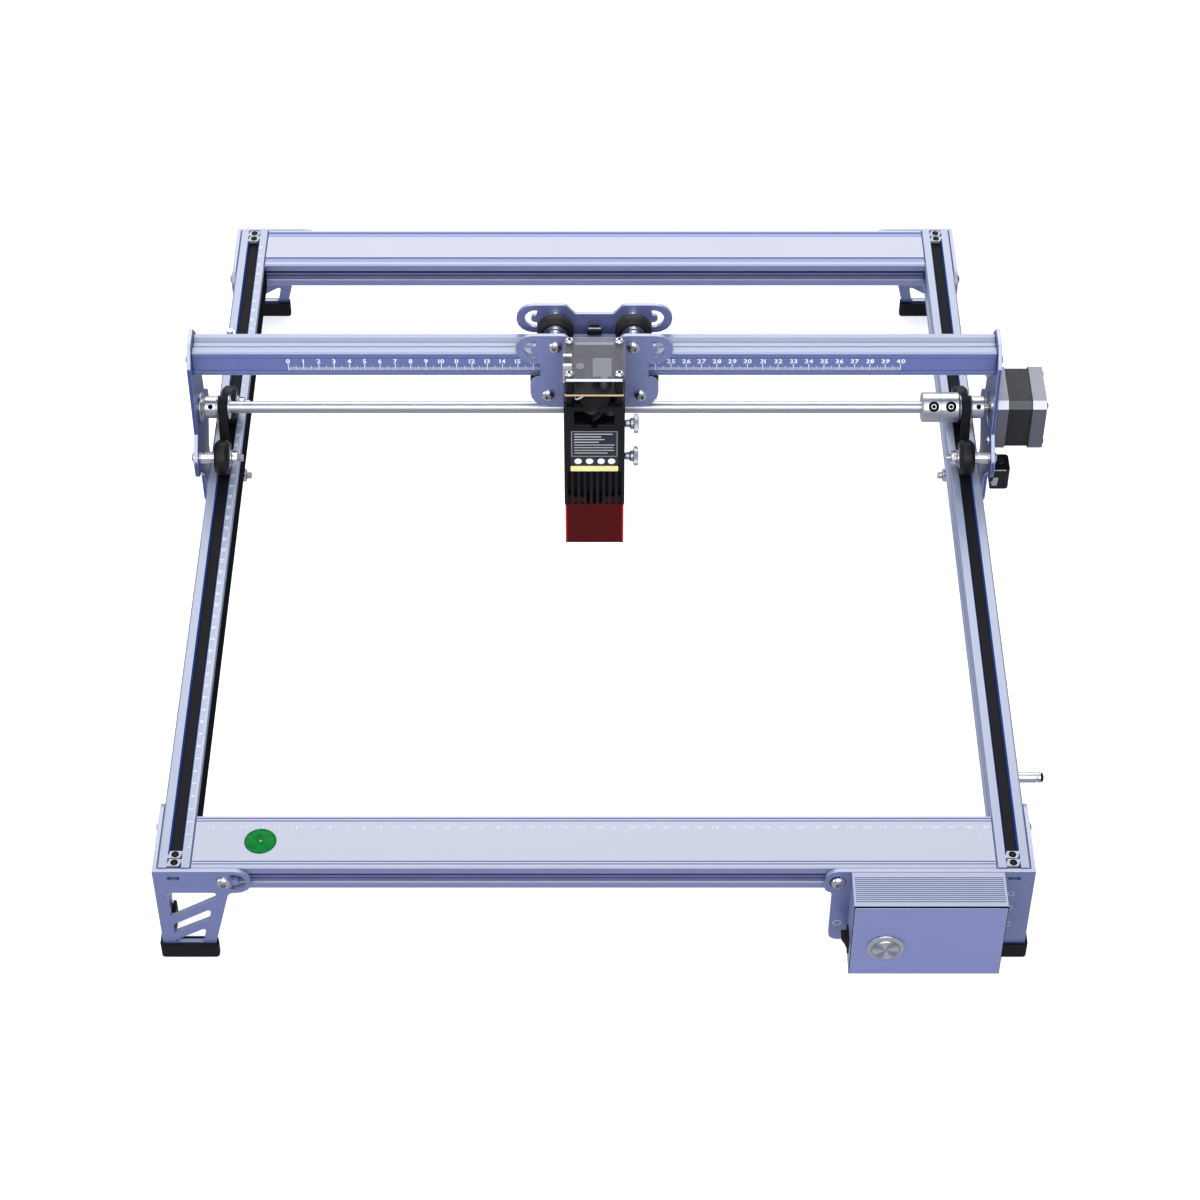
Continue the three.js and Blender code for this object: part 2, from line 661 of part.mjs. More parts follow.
// ---- laser module ----
const LASER_FRONT = LASER_Y - LASER_HALF;
const LASER_BACK = LASER_Y + LASER_HALF;
const FAN = { y: LASER_Y - 2.5, r: 16.4, room: 17.4, z0: 67, z1: 78 };
const SCREWS = [47, 18]; // heights of the two thumb screws
const SCREW_Y = 335;

function laserHousing() {
  const block = box(-LASER_HALF, LASER_HALF, LASER_FRONT, LASER_BACK, LASER_FOOT, LASER_TOP);
  const side = MOUNT.half + GAP;
  const groove = box(-side, side, MOUNT.front - GAP, LASER_BACK + 1, LASER_FOOT - 1, LASER_TOP + 1);
  const fanRoom = rodZ(FAN.room, 0, FAN.y, FAN.z0 - 2, LASER_TOP + 1, 32);
  const window = box(-13, 13, LASER_FRONT - 1, LASER_Y - 10, 68, 79.3);
  const cuts = [];
  for (let i = -4; i <= 4; i++) {
    const at = i * 4.1;
    cuts.push(box(at - 1.1, at + 1.1, LASER_FRONT - 1, LASER_FRONT + 7, LASER_FOOT - 1, 26));
  }
  for (let i = -3; i <= 2; i++) {
    const y = LASER_Y + i * 4.1;
    cuts.push(box(-LASER_HALF - 1, 6 - LASER_HALF, y - 1.1, y + 1.1, LASER_FOOT - 1, 26));
    if (y < SCREW_Y - 6) cuts.push(box(LASER_HALF - 6, LASER_HALF + 1, y - 1.1, y + 1.1, LASER_FOOT - 1, 26));
  }
  const bores = SCREWS.map((z) => rodX(2.6, LASER_HALF - 6, LASER_HALF + 1, SCREW_Y, z, 16));
  return cut(block, groove, fanRoom, window, ...cuts, ...bores);
}

function fanRotor() {
  const hub = rodZ(8.5, 0, FAN.y, FAN.z0, FAN.z1, 24);
  const blade = solid(
    new THREE.BoxGeometry(FAN.r - 7, 1.2, 11).translate((FAN.r + 7) / 2, 0, 0).rotateX(0.7),
  );
  const middle = (FAN.z0 + FAN.z1) / 2;
  const blades = Array.from({ length: 7 }, (_, i) =>
    blade.rotate([0, 0, (360 / 7) * i]).translate([0, FAN.y, middle]),
  );
  return join(hub, ...blades);
}

const POST = { step: 16, r: 2.6 };
const posts = () => [-1, 1].flatMap((sx) => [-1, 1].map((sy) => [sx * POST.step, LASER_Y + 1 + sy * POST.step]));

function topCover() {
  const half = 20;
  const y = LASER_Y + 0.5;
  const plate = alongZ(
    rounded([[-half, y - half, 2], [half, y - half, 2], [half, y + half, 2], [-half, y + half, 2]], 3),
    COVER_Z,
    COVER_Z + COVER_THICK,
  );
  return join(
    plate,
    ...posts().map(([px, py]) => rodZ(POST.r, px, py, BOARD_Z + 1.6 + GAP, COVER_Z + 1, 12)),
    ...posts().map(([px, py]) => rodZ(3, px, py, COVER_Z + 1, COVER_Z + COVER_THICK + 2, 12)),
  );
}

// The board and the short posts that hold it over the housing.
function circuitBoard() {
  const half = 19;
  const y = LASER_Y + 0.5;
  const plate = box(-half, half, y - half, y + half - 0.5, BOARD_Z, BOARD_Z + 1.6);
  const socket = box(-19.5, -14, 322, 337, BOARD_Z + 1, BOARD_Z + 8);
  const chip = box(-4, 4, LASER_Y - 5, LASER_Y + 3, BOARD_Z + 1, BOARD_Z + 4);
  const legs = posts().map(([px, py]) => rodZ(2.2, px, py, LASER_TOP + GAP, BOARD_Z + 0.5, 12));
  return join(plate, socket, chip, ...legs);
}

function shield() {
  const [out, wall] = [19.3, 2];
  const top = LASER_FOOT - GAP;
  const ring = (h, z0, z1) => box(-h, h, LASER_Y - h, LASER_Y + h, z0, z1);
  return cut(ring(out, SHIELD_FOOT, top), ring(out - wall, SHIELD_FOOT - 1, top + 1));
}

const lensBarrel = () =>
  solid(
    new THREE.LatheGeometry(
      [
        [0, LASER_FOOT - GAP], [8, LASER_FOOT - GAP], [8, -14], [6, -14], [6, -24], [3, -29], [0, -29],
      ].map(([r, z]) => new THREE.Vector2(r, z)),
      24,
    ).rotateX(Math.PI / 2).translate(0, LASER_Y, 0),
  );

function thumbScrew(z) {
  const x = LASER_HALF;
  return join(
    rodX(2.3, x - 5.5, x + 7, SCREW_Y, z, 16),
    rodX(3.6, x + 1, x + 6.5, SCREW_Y, z, 20),
    rodX(5.6, x + 6.2, x + 9.4, SCREW_Y, z, 24),
  );
}

// ---- the assembly ----
const group = new THREE.Group();
group.name = "desktop_laser_cutter";
function put(name, body, material) {
  const mesh = new THREE.Mesh(geometryOf(body), material);
  mesh.name = name;
  group.add(mesh);
}

put("left_rail", sideRail(-1), ANODISED);
put("right_rail", sideRail(1), ANODISED);
put("front_panel", frontPanel(), ANODISED);
put("rear_panel", rearPanel(), ANODISED);
put("bubble_level", bubbleLevel(), GREEN);
put("end_stop_pin", endStopPin(), STEEL);

put("front_left_bracket", mirrorX(cornerBracket()), ANODISED);
put("front_right_bracket", carrierBracket(), ANODISED);
put("rear_left_bracket", mirrorX(toRear(cornerBracket())), ANODISED);
put("rear_right_bracket", toRear(cornerBracket()), ANODISED);
put("front_left_foot", mirrorX(foot()), RUBBER);
put("front_right_foot", foot(), RUBBER);
put("rear_left_foot", mirrorX(toRear(foot())), RUBBER);
put("rear_right_foot", toRear(foot()), RUBBER);

put("control_box_shell", boxShell(), ANODISED);
put("control_box_cover", boxCover(), ANODISED);
put("main_board", mainBoard(), BOARD);
put("button_bezel", buttonBezel(), STEEL);
put("power_button", powerButton(), STEEL);
put("rocker_switch", rockerSwitch(), BLACK);
put("port_block", portBlock(), BLACK);

put("left_belt", straightBelt(-1), RUBBER);
put("right_belt", straightBelt(1), RUBBER);

put("gantry_beam", beam(), ANODISED);
put("left_gantry_plate", gantryPlate(-1, 9), ANODISED);
put("right_gantry_plate", gantryPlate(1, 11.4), ANODISED);
put("gantry_motor", yMotor(), STEEL);
put("limit_switch_box", switchBox(), BLACK);
put("left_belt_loop", yBeltLoop(-1), RUBBER);
put("right_belt_loop", yBeltLoop(1), RUBBER);
put("beam_belt", xBelt(), RUBBER);

put("drive_shaft", driveShaft(), STEEL);
put("shaft_coupling", coupling(), STEEL);
put("left_pulley", leftPulley(), STEEL);
put("right_pulley", rightPulley(), STEEL);

for (const [side, word] of [[-1, "left"], [1, "right"]]) {
  put(word + "_front_wheel", yWheel(side, GANTRY_Y - Y_WHEEL_STEP, WHEEL_OFF), RUBBER);
  put(word + "_rear_wheel", yWheel(side, GANTRY_Y + Y_WHEEL_STEP, WHEEL_OFF), RUBBER);
  put(word + "_bottom_wheel", yWheel(side, GANTRY_Y, BOTTOM_WHEEL_Z), RUBBER);
}

put("carriage_front_plate", carriagePlate(CARRIAGE_FRONT_Y), ANODISED);
put("carriage_rear_plate", rearPlate(), ANODISED);
put("carriage_motor", xMotor(), STEEL);
put("carriage_pulley", xPulley(), STEEL);
put("carriage_belt_loop", xBeltLoop(), RUBBER);
for (const [side, word] of [[-1, "left"], [1, "right"]]) {
  put("carriage_upper_" + word + "_wheel", xWheel(side * UPPER_WHEEL_X, UPPER_WHEEL_Z), RUBBER);
  put("carriage_lower_" + word + "_wheel", xWheel(side * LOWER_WHEEL_X, LOWER_WHEEL_Z), RUBBER);
}

put("laser_mount_rail", mountRail(), BLACK_METAL);
put("laser_housing", laserHousing(), BLACK_METAL);
put("fan_rotor", fanRotor(), BLACK);
put("laser_top_cover", topCover(), SMOKE);
put("laser_circuit_board", circuitBoard(), BOARD);
put("laser_shield", shield(), RED);
put("lens_barrel", lensBarrel(), BLACK_METAL);
put("upper_thumb_screw", thumbScrew(SCREWS[0]), STEEL);
put("lower_thumb_screw", thumbScrew(SCREWS[1]), STEEL);

// The footprint runs from the left gantry plate to the end of the gantry motor, and from the power button
// to the rear brackets.
const LEFT_END = -SIDE_X - SHEET;
const RIGHT_END = SIDE_X + SHEET + GAP + MOTOR_LENGTH;
const FRONT_END = BOX.front - 2.4;
const BACK_END = RAIL_LENGTH + GAP + SHEET + 1.9;
group.position.set(-(LEFT_END + RIGHT_END) / 2, -(FRONT_END + BACK_END) / 2, -FLOOR_Z);

export default group;
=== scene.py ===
# The looks of a desktop laser cutter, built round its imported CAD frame.
# Lengths are millimetres in the machine's own frame: X = 0 midway between the side rails, Y = 0 at their front
# ends and Z = 0 at their tops. ORIGIN, read from the frame, turns them into the row frame's metres.
import math

import bmesh
import bpy
from mathutils import Matrix, Vector


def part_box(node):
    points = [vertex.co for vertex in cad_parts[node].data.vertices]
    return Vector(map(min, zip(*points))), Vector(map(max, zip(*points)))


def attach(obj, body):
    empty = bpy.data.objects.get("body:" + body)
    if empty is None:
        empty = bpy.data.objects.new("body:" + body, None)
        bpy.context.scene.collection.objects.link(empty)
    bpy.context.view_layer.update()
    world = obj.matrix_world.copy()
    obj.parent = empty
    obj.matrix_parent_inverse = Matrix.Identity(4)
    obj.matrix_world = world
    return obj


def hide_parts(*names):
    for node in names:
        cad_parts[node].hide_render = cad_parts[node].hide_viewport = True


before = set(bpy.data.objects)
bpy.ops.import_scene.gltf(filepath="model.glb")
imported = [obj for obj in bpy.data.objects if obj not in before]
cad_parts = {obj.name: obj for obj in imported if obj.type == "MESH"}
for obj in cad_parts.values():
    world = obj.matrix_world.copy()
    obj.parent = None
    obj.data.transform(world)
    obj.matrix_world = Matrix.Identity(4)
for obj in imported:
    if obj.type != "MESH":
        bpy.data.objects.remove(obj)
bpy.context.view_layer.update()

MM = 0.001
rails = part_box("left_rail"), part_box("right_rail")
ORIGIN = Vector(((rails[0][0].x + rails[1][1].x) / 2, rails[0][0].y, rails[0][1].z))


def node_box(name):
    """A CAD node's lowest and highest corners in the machine's frame, in millimetres."""
    low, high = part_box(name)
    return (low - ORIGIN) / MM, (high - ORIGIN) / MM


def middle(low, high):
    return [(a + b) / 2 for a, b in zip(low, high)]


# ---- materials ----
class Nodes:
    """A short way to write one node material."""

    def __init__(self, name):
        self.material = bpy.data.materials.new(name)
        self.material.use_nodes = True
        self.tree = self.material.node_tree
        self.shader = self.tree.nodes["Principled BSDF"]
        self.place = self.add("ShaderNodeTexCoord").outputs["Object"]

    def add(self, kind, **values):
        node = self.tree.nodes.new(kind)
        for key, value in values.items():
            setattr(node, key, value)
        return node

    def link(self, source, target):
        self.tree.links.new(source, target)

    def fixed(self, **values):
        for key, value in values.items():
            self.shader.inputs[key.replace("_", " ")].default_value = value
        return self

    def stretch(self, scale):
        mapping = self.add("ShaderNodeMapping")
        mapping.inputs["Scale"].default_value = scale
        self.link(self.place, mapping.inputs["Vector"])
        return mapping.outputs["Vector"]

    def noise(self, scale, detail=2.0, rough=0.5, vector=None):
        node = self.add("ShaderNodeTexNoise")
        node.inputs["Scale"].default_value = scale
        node.inputs["Detail"].default_value = detail
        node.inputs["Roughness"].default_value = rough
        self.link(vector or self.place, node.inputs["Vector"])
        return node.outputs["Fac"]

    def math(self, operation, *values):
        node = self.add("ShaderNodeMath", operation=operation)
        for socket, value in zip(node.inputs, values):
            if isinstance(value, (int, float)):
                socket.default_value = value
            else:
                self.link(value, socket)
        return node.outputs[0]

    def axes(self, source):
        parts = self.add("ShaderNodeSeparateXYZ")
        self.link(source, parts.inputs[0])
        return parts.outputs

    def facing(self, axis, start, end):
        """0 to 1 as a face's slant to the object's own axis goes from start to end; 1 looks along it."""
        normal = self.axes(self.add("ShaderNodeTexCoord").outputs["Normal"])
        return self.spread(self.math("ABSOLUTE", normal[axis]), 0, 1, start, end)

    def sunk(self, across, margin, top):
        """1 on faces that lie inside a profile's outline, which take painted shade: across is its other side axis, and
        the margins are shares of the object's own box."""
        share = self.axes(self.add("ShaderNodeTexCoord").outputs["Generated"])
        inner = self.math("MULTIPLY", self.math("GREATER_THAN", share[across], margin),
                          self.math("LESS_THAN", share[across], 1 - margin))
        return self.math("MULTIPLY", inner, self.math("LESS_THAN", share["Z"], 1 - top))

    def on_corners(self, colour, paler):
        """colour, which goes over to paler on faces at 45 degrees to the upright: a painted highlight on chamfers that
        face the lamps.
        """
        band = self.math("MULTIPLY", self.facing("Z", 0.4, 0.55), self.facing("Z", 0.93, 0.82))
        return self.blend(band, colour, paler)

    def in_crevices(self, colour, deep, distance, start=0.25, end=0.72):
        """colour, which goes over to deep as painted shade in grooves, sockets and inner corners, where little light
        reaches.
        """
        occlusion = self.add("ShaderNodeAmbientOcclusion", samples=6, only_local=True)
        occlusion.inputs["Distance"].default_value = distance * MM
        return self.blend(self.spread(occlusion.outputs["AO"], 1, 0, start, end), colour, deep)

    def blend(self, fac, a, b):
        node = self.add("ShaderNodeMix", data_type="RGBA")
        self.link(fac, node.inputs["Factor"])
        for value, socket in ((a, node.inputs["A"]), (b, node.inputs["B"])):
            if isinstance(value, tuple):
                socket.default_value = (*value, 1)
            else:
                self.link(value, socket)
        return node.outputs["Result"]

    def spread(self, fac, low, high, start=0.25, end=0.75):
        """fac, from start to end, made into a number from low to high."""
        node = self.add("ShaderNodeMapRange")
        for key, value in zip(("From Min", "From Max", "To Min", "To Max"), (start, end, low, high)):
            node.inputs[key].default_value = value
        self.link(fac, node.inputs["Value"])
        return node.outputs["Result"]

    def colours(self, fac, low, high, start=0.3, end=0.7):
        ramp = self.add("ShaderNodeValToRGB")
        for stop, place, colour in zip(ramp.color_ramp.elements, (start, end), (low, high)):
            stop.position, stop.color = place, (*colour, 1)
        self.link(fac, ramp.inputs["Fac"])
        return ramp.outputs["Color"]

    def bump(self, height, strength, distance, normal=None):
        node = self.add("ShaderNodeBump")
        node.inputs["Strength"].default_value = strength
        node.inputs["Distance"].default_value = distance * MM
        self.link(height, node.inputs["Height"])
        if normal:
            self.link(normal, node.inputs["Normal"])
        return node.outputs["Normal"]

    def finish(self, colour, roughness, normal):
        for source, name in ((colour, "Base Color"), (roughness, "Roughness"), (normal, "Normal")):
            self.link(source, self.shader.inputs[name])
        return self.material


def scaled(colour, factor):
    return tuple(min(c * factor, 1) for c in colour)


PALE_BLUE = (0.13, 0.17, 0.34)
# Painted highlight: the paler colour of lit cut faces.
LIT_CUT = (0.28, 0.31, 0.43)


def anodised(name, colour, streak, rough=0.4, depth=0.3, metallic=0.2, cut=None,
             deep=(0.012, 0.03, 0.2), sunk=None, crevice=(0.25, 0.72), coat=1.0):
    """Bead-blasted anodised aluminium: fine grain, faint clouds, and draw lines along the long axis. cut is
    (axis, from, to, colour): faces whose slant to that axis is near to have a paler colour, a painted highlight
    on lit tops and cut faces. deep is painted shade in grooves and inner corners, and sunk is (axis, margin, top,
    colour) for painted shade on the faces inside a profile's outline."""
    n = Nodes(name).fixed(Metallic=metallic, Coat_Weight=coat, Coat_Roughness=0.3, Coat_IOR=1.75)
    grain = n.noise(1900, 3, 0.65)
    clouds = n.noise(14, 3, 0.55)
    lines = n.noise(1, 2, 0.5, n.stretch(streak))
    mixed = n.math("ADD", n.math("MULTIPLY", grain, 0.55), n.math("MULTIPLY", clouds, 0.25))
    mixed = n.math("ADD", mixed, n.math("MULTIPLY", lines, 0.2))
    colour_out = n.colours(mixed, scaled(colour, 0.86), scaled(colour, 1.16), 0.36, 0.64)
    # Painted highlight: the faces the mask picks out by their slant, lit tops and cut faces, take the paler colour.
    if cut:
        axis, start, end, paler = cut
        colour_out = n.blend(n.facing(axis, start, end), colour_out, paler)
    # Painted shade: grooves and inner corners go over to the deep colour.
    colour_out = n.in_crevices(colour_out, deep, 3.5, *crevice)
    # Painted shade on the faces inside the profile's outline.
    if sunk:
        across, margin, top, inner = sunk
        colour_out = n.blend(n.sunk(across, margin, top), colour_out, inner)
    roughness = n.spread(mixed, rough - 0.07, rough + 0.08)
    fine = n.bump(grain, depth, 0.03)
    return n.finish(colour_out, roughness, n.bump(lines, 0.04, 0.03, fine))


def dull(name, colour, rough, grain, depth, spread=0.5, **fixed):
    """Rubber, moulded plastic and the like: a pebbled surface with paler, duller patches of handling."""
    n = Nodes(name).fixed(**{"Specular_IOR_Level": 0.25, **fixed})
    fine = n.noise(grain, 3, 0.6)
    patches = n.noise(45, 4, 0.6)
    colour_out = n.colours(patches, scaled(colour, 1 - spread * 0.5), scaled(colour, 1 + spread), 0.35, 0.75)
    roughness = n.spread(patches, rough - 0.08, rough + 0.1)
    return n.finish(colour_out, roughness, n.bump(fine, depth, 0.05))


def bright(name, colour, rough, streak=(1, 1, 1), scale=60, depth=0.12, corners=None, lit_tops=None, crevice_shade=True,
           **fixed):
    """Turned or polished metal, with the fine lines of the tool along one axis. Faces that look up and chamfers can
    take paler colours as painted highlights, and hollows a painted shade.
    """
    n = Nodes(name).fixed(**{"Metallic": 1.0, **fixed})
    lines = n.noise(scale, 3, 0.6, n.stretch(streak))
    smears = n.noise(70, 3, 0.6)
    colour_out = n.colours(lines, scaled(colour, 0.9), scaled(colour, 1.06))
    # Painted highlight on faces that look up.
    if lit_tops:
        colour_out = n.blend(n.facing("Z", 0.93, 0.97), colour_out, lit_tops)
    # Painted highlight on chamfers.
    if corners:
        colour_out = n.on_corners(colour_out, corners)
    # Painted shade: the hollows of screws and turned parts go nearly black.
    if crevice_shade:
        colour_out = n.in_crevices(colour_out, (0.006, 0.006, 0.008), 2.2, 0.25, 0.6)
    roughness = n.spread(smears, rough - 0.04, rough + 0.07)
    return n.finish(colour_out, roughness, n.bump(lines, depth, 0.02))


def brushed_disc(name, x, z):
    """A cap turned about Y: its brush marks run round it, with a painted sheen in bow-tie sectors of its colour."""
    n = Nodes(name).fixed(Metallic=1.0, Anisotropic=0.6)
    here = n.axes(n.place)
    centre = Vector((x, 0, z)) * MM + ORIGIN
    dx = n.math("SUBTRACT", here["X"], centre.x)
    dz = n.math("SUBTRACT", here["Z"], centre.z)
    angle = n.math("ARCTAN2", dz, dx)
    # Painted sheen: bright and dark sectors round the centre, as a brushed cap reflects the lamps.
    sheen_sector = n.math("SINE", n.math("ADD", n.math("MULTIPLY", angle, 4.0), 0.8))
    radius = n.math("SQRT", n.math("ADD", n.math("MULTIPLY", dx, dx), n.math("MULTIPLY", dz, dz)))
    rings = n.add("ShaderNodeTexNoise", noise_dimensions="1D")
    rings.inputs["Scale"].default_value = 9000
    n.link(radius, rings.inputs["W"])
    both = n.math("ADD", n.math("MULTIPLY", sheen_sector, 0.28), rings.outputs["Fac"])
    colour = n.colours(both, (0.36, 0.38, 0.43), (0.83, 0.85, 0.9), 0.2, 0.85)
    return n.finish(colour, n.spread(rings.outputs["Fac"], 0.2, 0.36), n.bump(rings.outputs["Fac"], 0.25, 0.02))


def laminated(name):
    """The stack of thin iron plates in the middle of a stepper motor, pressed along X or Y."""
    n = Nodes(name).fixed(Metallic=0.35)
    fine = n.noise(1, 2, 0.5, n.stretch((2600, 60, 60)))
    spots = n.noise(300, 3, 0.6)
    # The iron is near black, its chamfers paler as a painted highlight.
    colour = n.on_corners(n.colours(spots, (0.009, 0.009, 0.011), (0.022, 0.022, 0.026)), (0.085, 0.088, 0.1))
    return n.finish(colour, n.spread(fine, 0.38, 0.6), n.bump(fine, 0.35, 0.06))


def clear(name, colour, alpha, rough, level=0.6):
    """Acrylic with a faint haze."""
    n = Nodes(name).fixed(Alpha=alpha, IOR=1.49, Specular_IOR_Level=level)
    haze = n.noise(60, 4, 0.6)
    colour_out = n.colours(haze, scaled(colour, 0.93), scaled(colour, 1.08))
    return n.finish(colour_out, n.spread(haze, rough * 0.8, rough * 1.3), n.bump(n.noise(40), 0.02, 0.02))


ALONG_X, ALONG_Y, ALL_ROUND = (4, 700, 700), (700, 4, 700), (300, 300, 300)
# The cut colours below are painted highlights on lit tops and cut faces; the sunk colours are painted shade inside the
# profiles' grooves.
RAIL = anodised("anodised_rail", PALE_BLUE, ALONG_Y, cut=("Z", 0.5, 0.8, (0.225, 0.26, 0.37)),
                sunk=("X", 0.05, 0.006, (0.025, 0.07, 0.34)))
PANEL = anodised("anodised_panel", (0.13, 0.155, 0.34), ALONG_X, cut=("Z", 0.5, 0.8, (0.29, 0.31, 0.4)),
                 sunk=("Y", 0.027, 0.006, (0.03, 0.08, 0.42)))
BEAM = anodised("anodised_beam", (0.1, 0.135, 0.38), ALONG_X, cut=("Z", 0.4, 0.7, (0.2, 0.24, 0.365)))
BOX = anodised("anodised_box", PALE_BLUE, ALONG_X, cut=("Z", 0.5, 0.8, (0.235, 0.27, 0.38)), deep=(0.04, 0.07, 0.3))
COVER = anodised("anodised_cover", (0.16, 0.18, 0.42), ALONG_X)
# Painted shade: a darker, more saturated blue for groove floors and sunk bands in shade.
GROOVE_SHADE = anodised("anodised_groove_shade", (0.09, 0.13, 0.38), ALONG_X, 0.45, 0.2)
BRACKET = anodised("anodised_bracket", (0.1, 0.127, 0.31), ALL_ROUND, 0.42,
                   cut=("Z", 0.25, 0.5, LIT_CUT), crevice=(0.5, 0.9))
SIDE_PLATE = anodised("anodised_side_plate", (0.035, 0.055, 0.22), ALL_ROUND, 0.42,
                      cut=("Z", 0.35, 0.6, (0.42, 0.46, 0.62)), coat=0.35)
CARRIER_PLATE = anodised("anodised_carriage_plate", (0.145, 0.175, 0.39), ALL_ROUND, 0.42,
                         cut=("Y", 0.85, 0.6, LIT_CUT), deep=(0.01, 0.02, 0.09), crevice=(0.5, 0.9))
# Paler blue of the rounded edges: partly wear, partly a painted highlight.
EDGE = anodised("anodised_worn_lit_edge", (0.34, 0.38, 0.6), ALL_ROUND, 0.3, 0.15, 0.5)
STEEL = bright("steel", (0.7, 0.71, 0.74), 0.24)
SHAFT = bright("ground_shaft", (0.6, 0.61, 0.67), 0.36, (60, 1, 1), 60, 0.02, crevice_shade=False)
CHROME = bright("chrome", (0.72, 0.72, 0.76), 0.2)
THUMB = bright("satin_steel", (0.52, 0.54, 0.6), 0.34, crevice_shade=False)
NICKEL = bright("nickel", (0.62, 0.63, 0.67), 0.34)
CLAMP = dull("clamp_plating", (0.36, 0.375, 0.43), 0.35, 900, 0.15, spread=0.15, Metallic=0.3)
SATIN = bright("satin_aluminium", (0.66, 0.68, 0.72), 0.32, (60, 1, 1), 60)
# Dark cast aluminium, its tops lighter and its chamfers pale: painted highlights where the lamps fall.
CAST = bright("cast_aluminium", (0.1, 0.104, 0.13), 0.45, (1, 1, 1), 300, corners=(0.62, 0.64, 0.72),
              lit_tops=(0.25, 0.26, 0.3), Metallic=0.3)
DARK_STEEL = dull("black_oxide", (0.02, 0.02, 0.022), 0.35, 1500, 0.2, Metallic=0.3)
# Near black with almost no reflection: painted shadow in holes, slots and gaps, and the black of parts seen in them.
BLACK_SHADOW = dull("black_and_painted_shadow", (0.003, 0.003, 0.004), 0.85, 1500, 0.1, Specular_IOR_Level=0.05)
RUBBER = dull("rubber", (0.005, 0.005, 0.006), 0.55, 1100, 0.35, Specular_IOR_Level=0.15)
WHEEL = dull("wheel_rubber", (0.008, 0.008, 0.009), 0.42, 700, 0.12)
BELT = dull("belt", (0.009, 0.009, 0.011), 0.6, 900, 0.4, Specular_IOR_Level=0.1)
PLASTIC = dull("black_plastic", (0.007, 0.007, 0.008), 0.36, 1600, 0.25)
BLACK_METAL = dull("black_aluminium", (0.008, 0.008, 0.01), 0.38, 1800, 0.25, Metallic=0.3)
HUB = dull("fan_hub_plastic", (0.035, 0.036, 0.04), 0.45, 1600, 0.2)
LAMINATED = laminated("laminated_iron")
FIBRE = dull("board_core", (0.62, 0.4, 0.24), 0.5, 1400, 0.2, spread=0.15)
MASK = dull("solder_mask", (0.018, 0.022, 0.026), 0.4, 900, 0.15)
PART = dull("moulded_component", (0.82, 0.84, 0.9), 0.45, 900, 0.15, spread=0.1)
CAN = dull("capacitor_sleeve", (0.05, 0.055, 0.065), 0.25, 900, 0.1, Specular_IOR_Level=0.8)
INK = dull("white_ink", (0.8, 0.82, 0.88), 0.5, 2500, 0.15, spread=0.1)
FAINT_INK = dull("faint_ink", (0.62, 0.66, 0.83), 0.5, 2500, 0.15, spread=0.1)
YELLOW = dull("pale_yellow_label", (0.8, 0.7, 0.3), 0.5, 2000, 0.1, spread=0.1)
TICK_INK = dull("tick_ink", (0.62, 0.64, 0.7), 0.5, 2500, 0.1, spread=0.1)
GREY_INK = dull("grey_ink", (0.45, 0.46, 0.5), 0.5, 2500, 0.1, spread=0.1)
SMOKE = clear("smoke_acrylic", (0.08, 0.083, 0.1), 0.4, 0.16)
RED = clear("red_acrylic", (0.06, 0.001, 0.0012), 0.97, 0.14, 0.15)
RED_EDGE = dull("cut_red_edge", (0.5, 0.02, 0.012), 0.35, 900, 0.2, spread=0.3)
FROSTED = dull("cut_acrylic_edge", (0.75, 0.78, 0.84), 0.4, 900, 0.2, spread=0.1)
# Painted shade: the dark navy of slot faces in shadow.
SLOT_SHADE = dull("slot_painted_shade", (0.086, 0.095, 0.212), 0.45, 900, 0.15, spread=0.1)
WIRE = dull("white_wire", (0.5, 0.5, 0.52), 0.4, 800, 0.1, spread=0.1)


def level_material():
    """Green liquid, swirled and faceted, under a clear disc."""
    n = Nodes("level_green").fixed(Specular_IOR_Level=0.05)
    swirl = n.noise(160, 5, 0.65)
    facets = n.add("ShaderNodeTexVoronoi")
    facets.inputs["Scale"].default_value = 260
    n.link(n.place, facets.inputs["Vector"])
    mixed = n.math("ADD", n.math("MULTIPLY", swirl, 0.7), n.math("MULTIPLY", facets.outputs["Distance"], 0.4))
    colour = n.colours(mixed, (0.0005, 0.11, 0.014), (0.001, 0.19, 0.03), 0.35, 0.65)
    return n.finish(colour, n.spread(swirl, 0.12, 0.3), n.bump(mixed, 0.25, 0.2))


# ---- shapes ----
AXES = {
    "x": Matrix(((0, 0, 1), (1, 0, 0), (0, 1, 0))),
    "-x": Matrix(((0, 0, -1), (-1, 0, 0), (0, 1, 0))),
    "y": Matrix(((1, 0, 0), (0, 0, 1), (0, -1, 0))),
    "-y": Matrix(((1, 0, 0), (0, 0, -1), (0, 1, 0))),
    "z": Matrix.Identity(3),
}


def facing(direction):
    """The turn that takes +Z to a direction."""
    return Vector(direction).normalized().to_track_quat("Z", "Y").to_matrix()


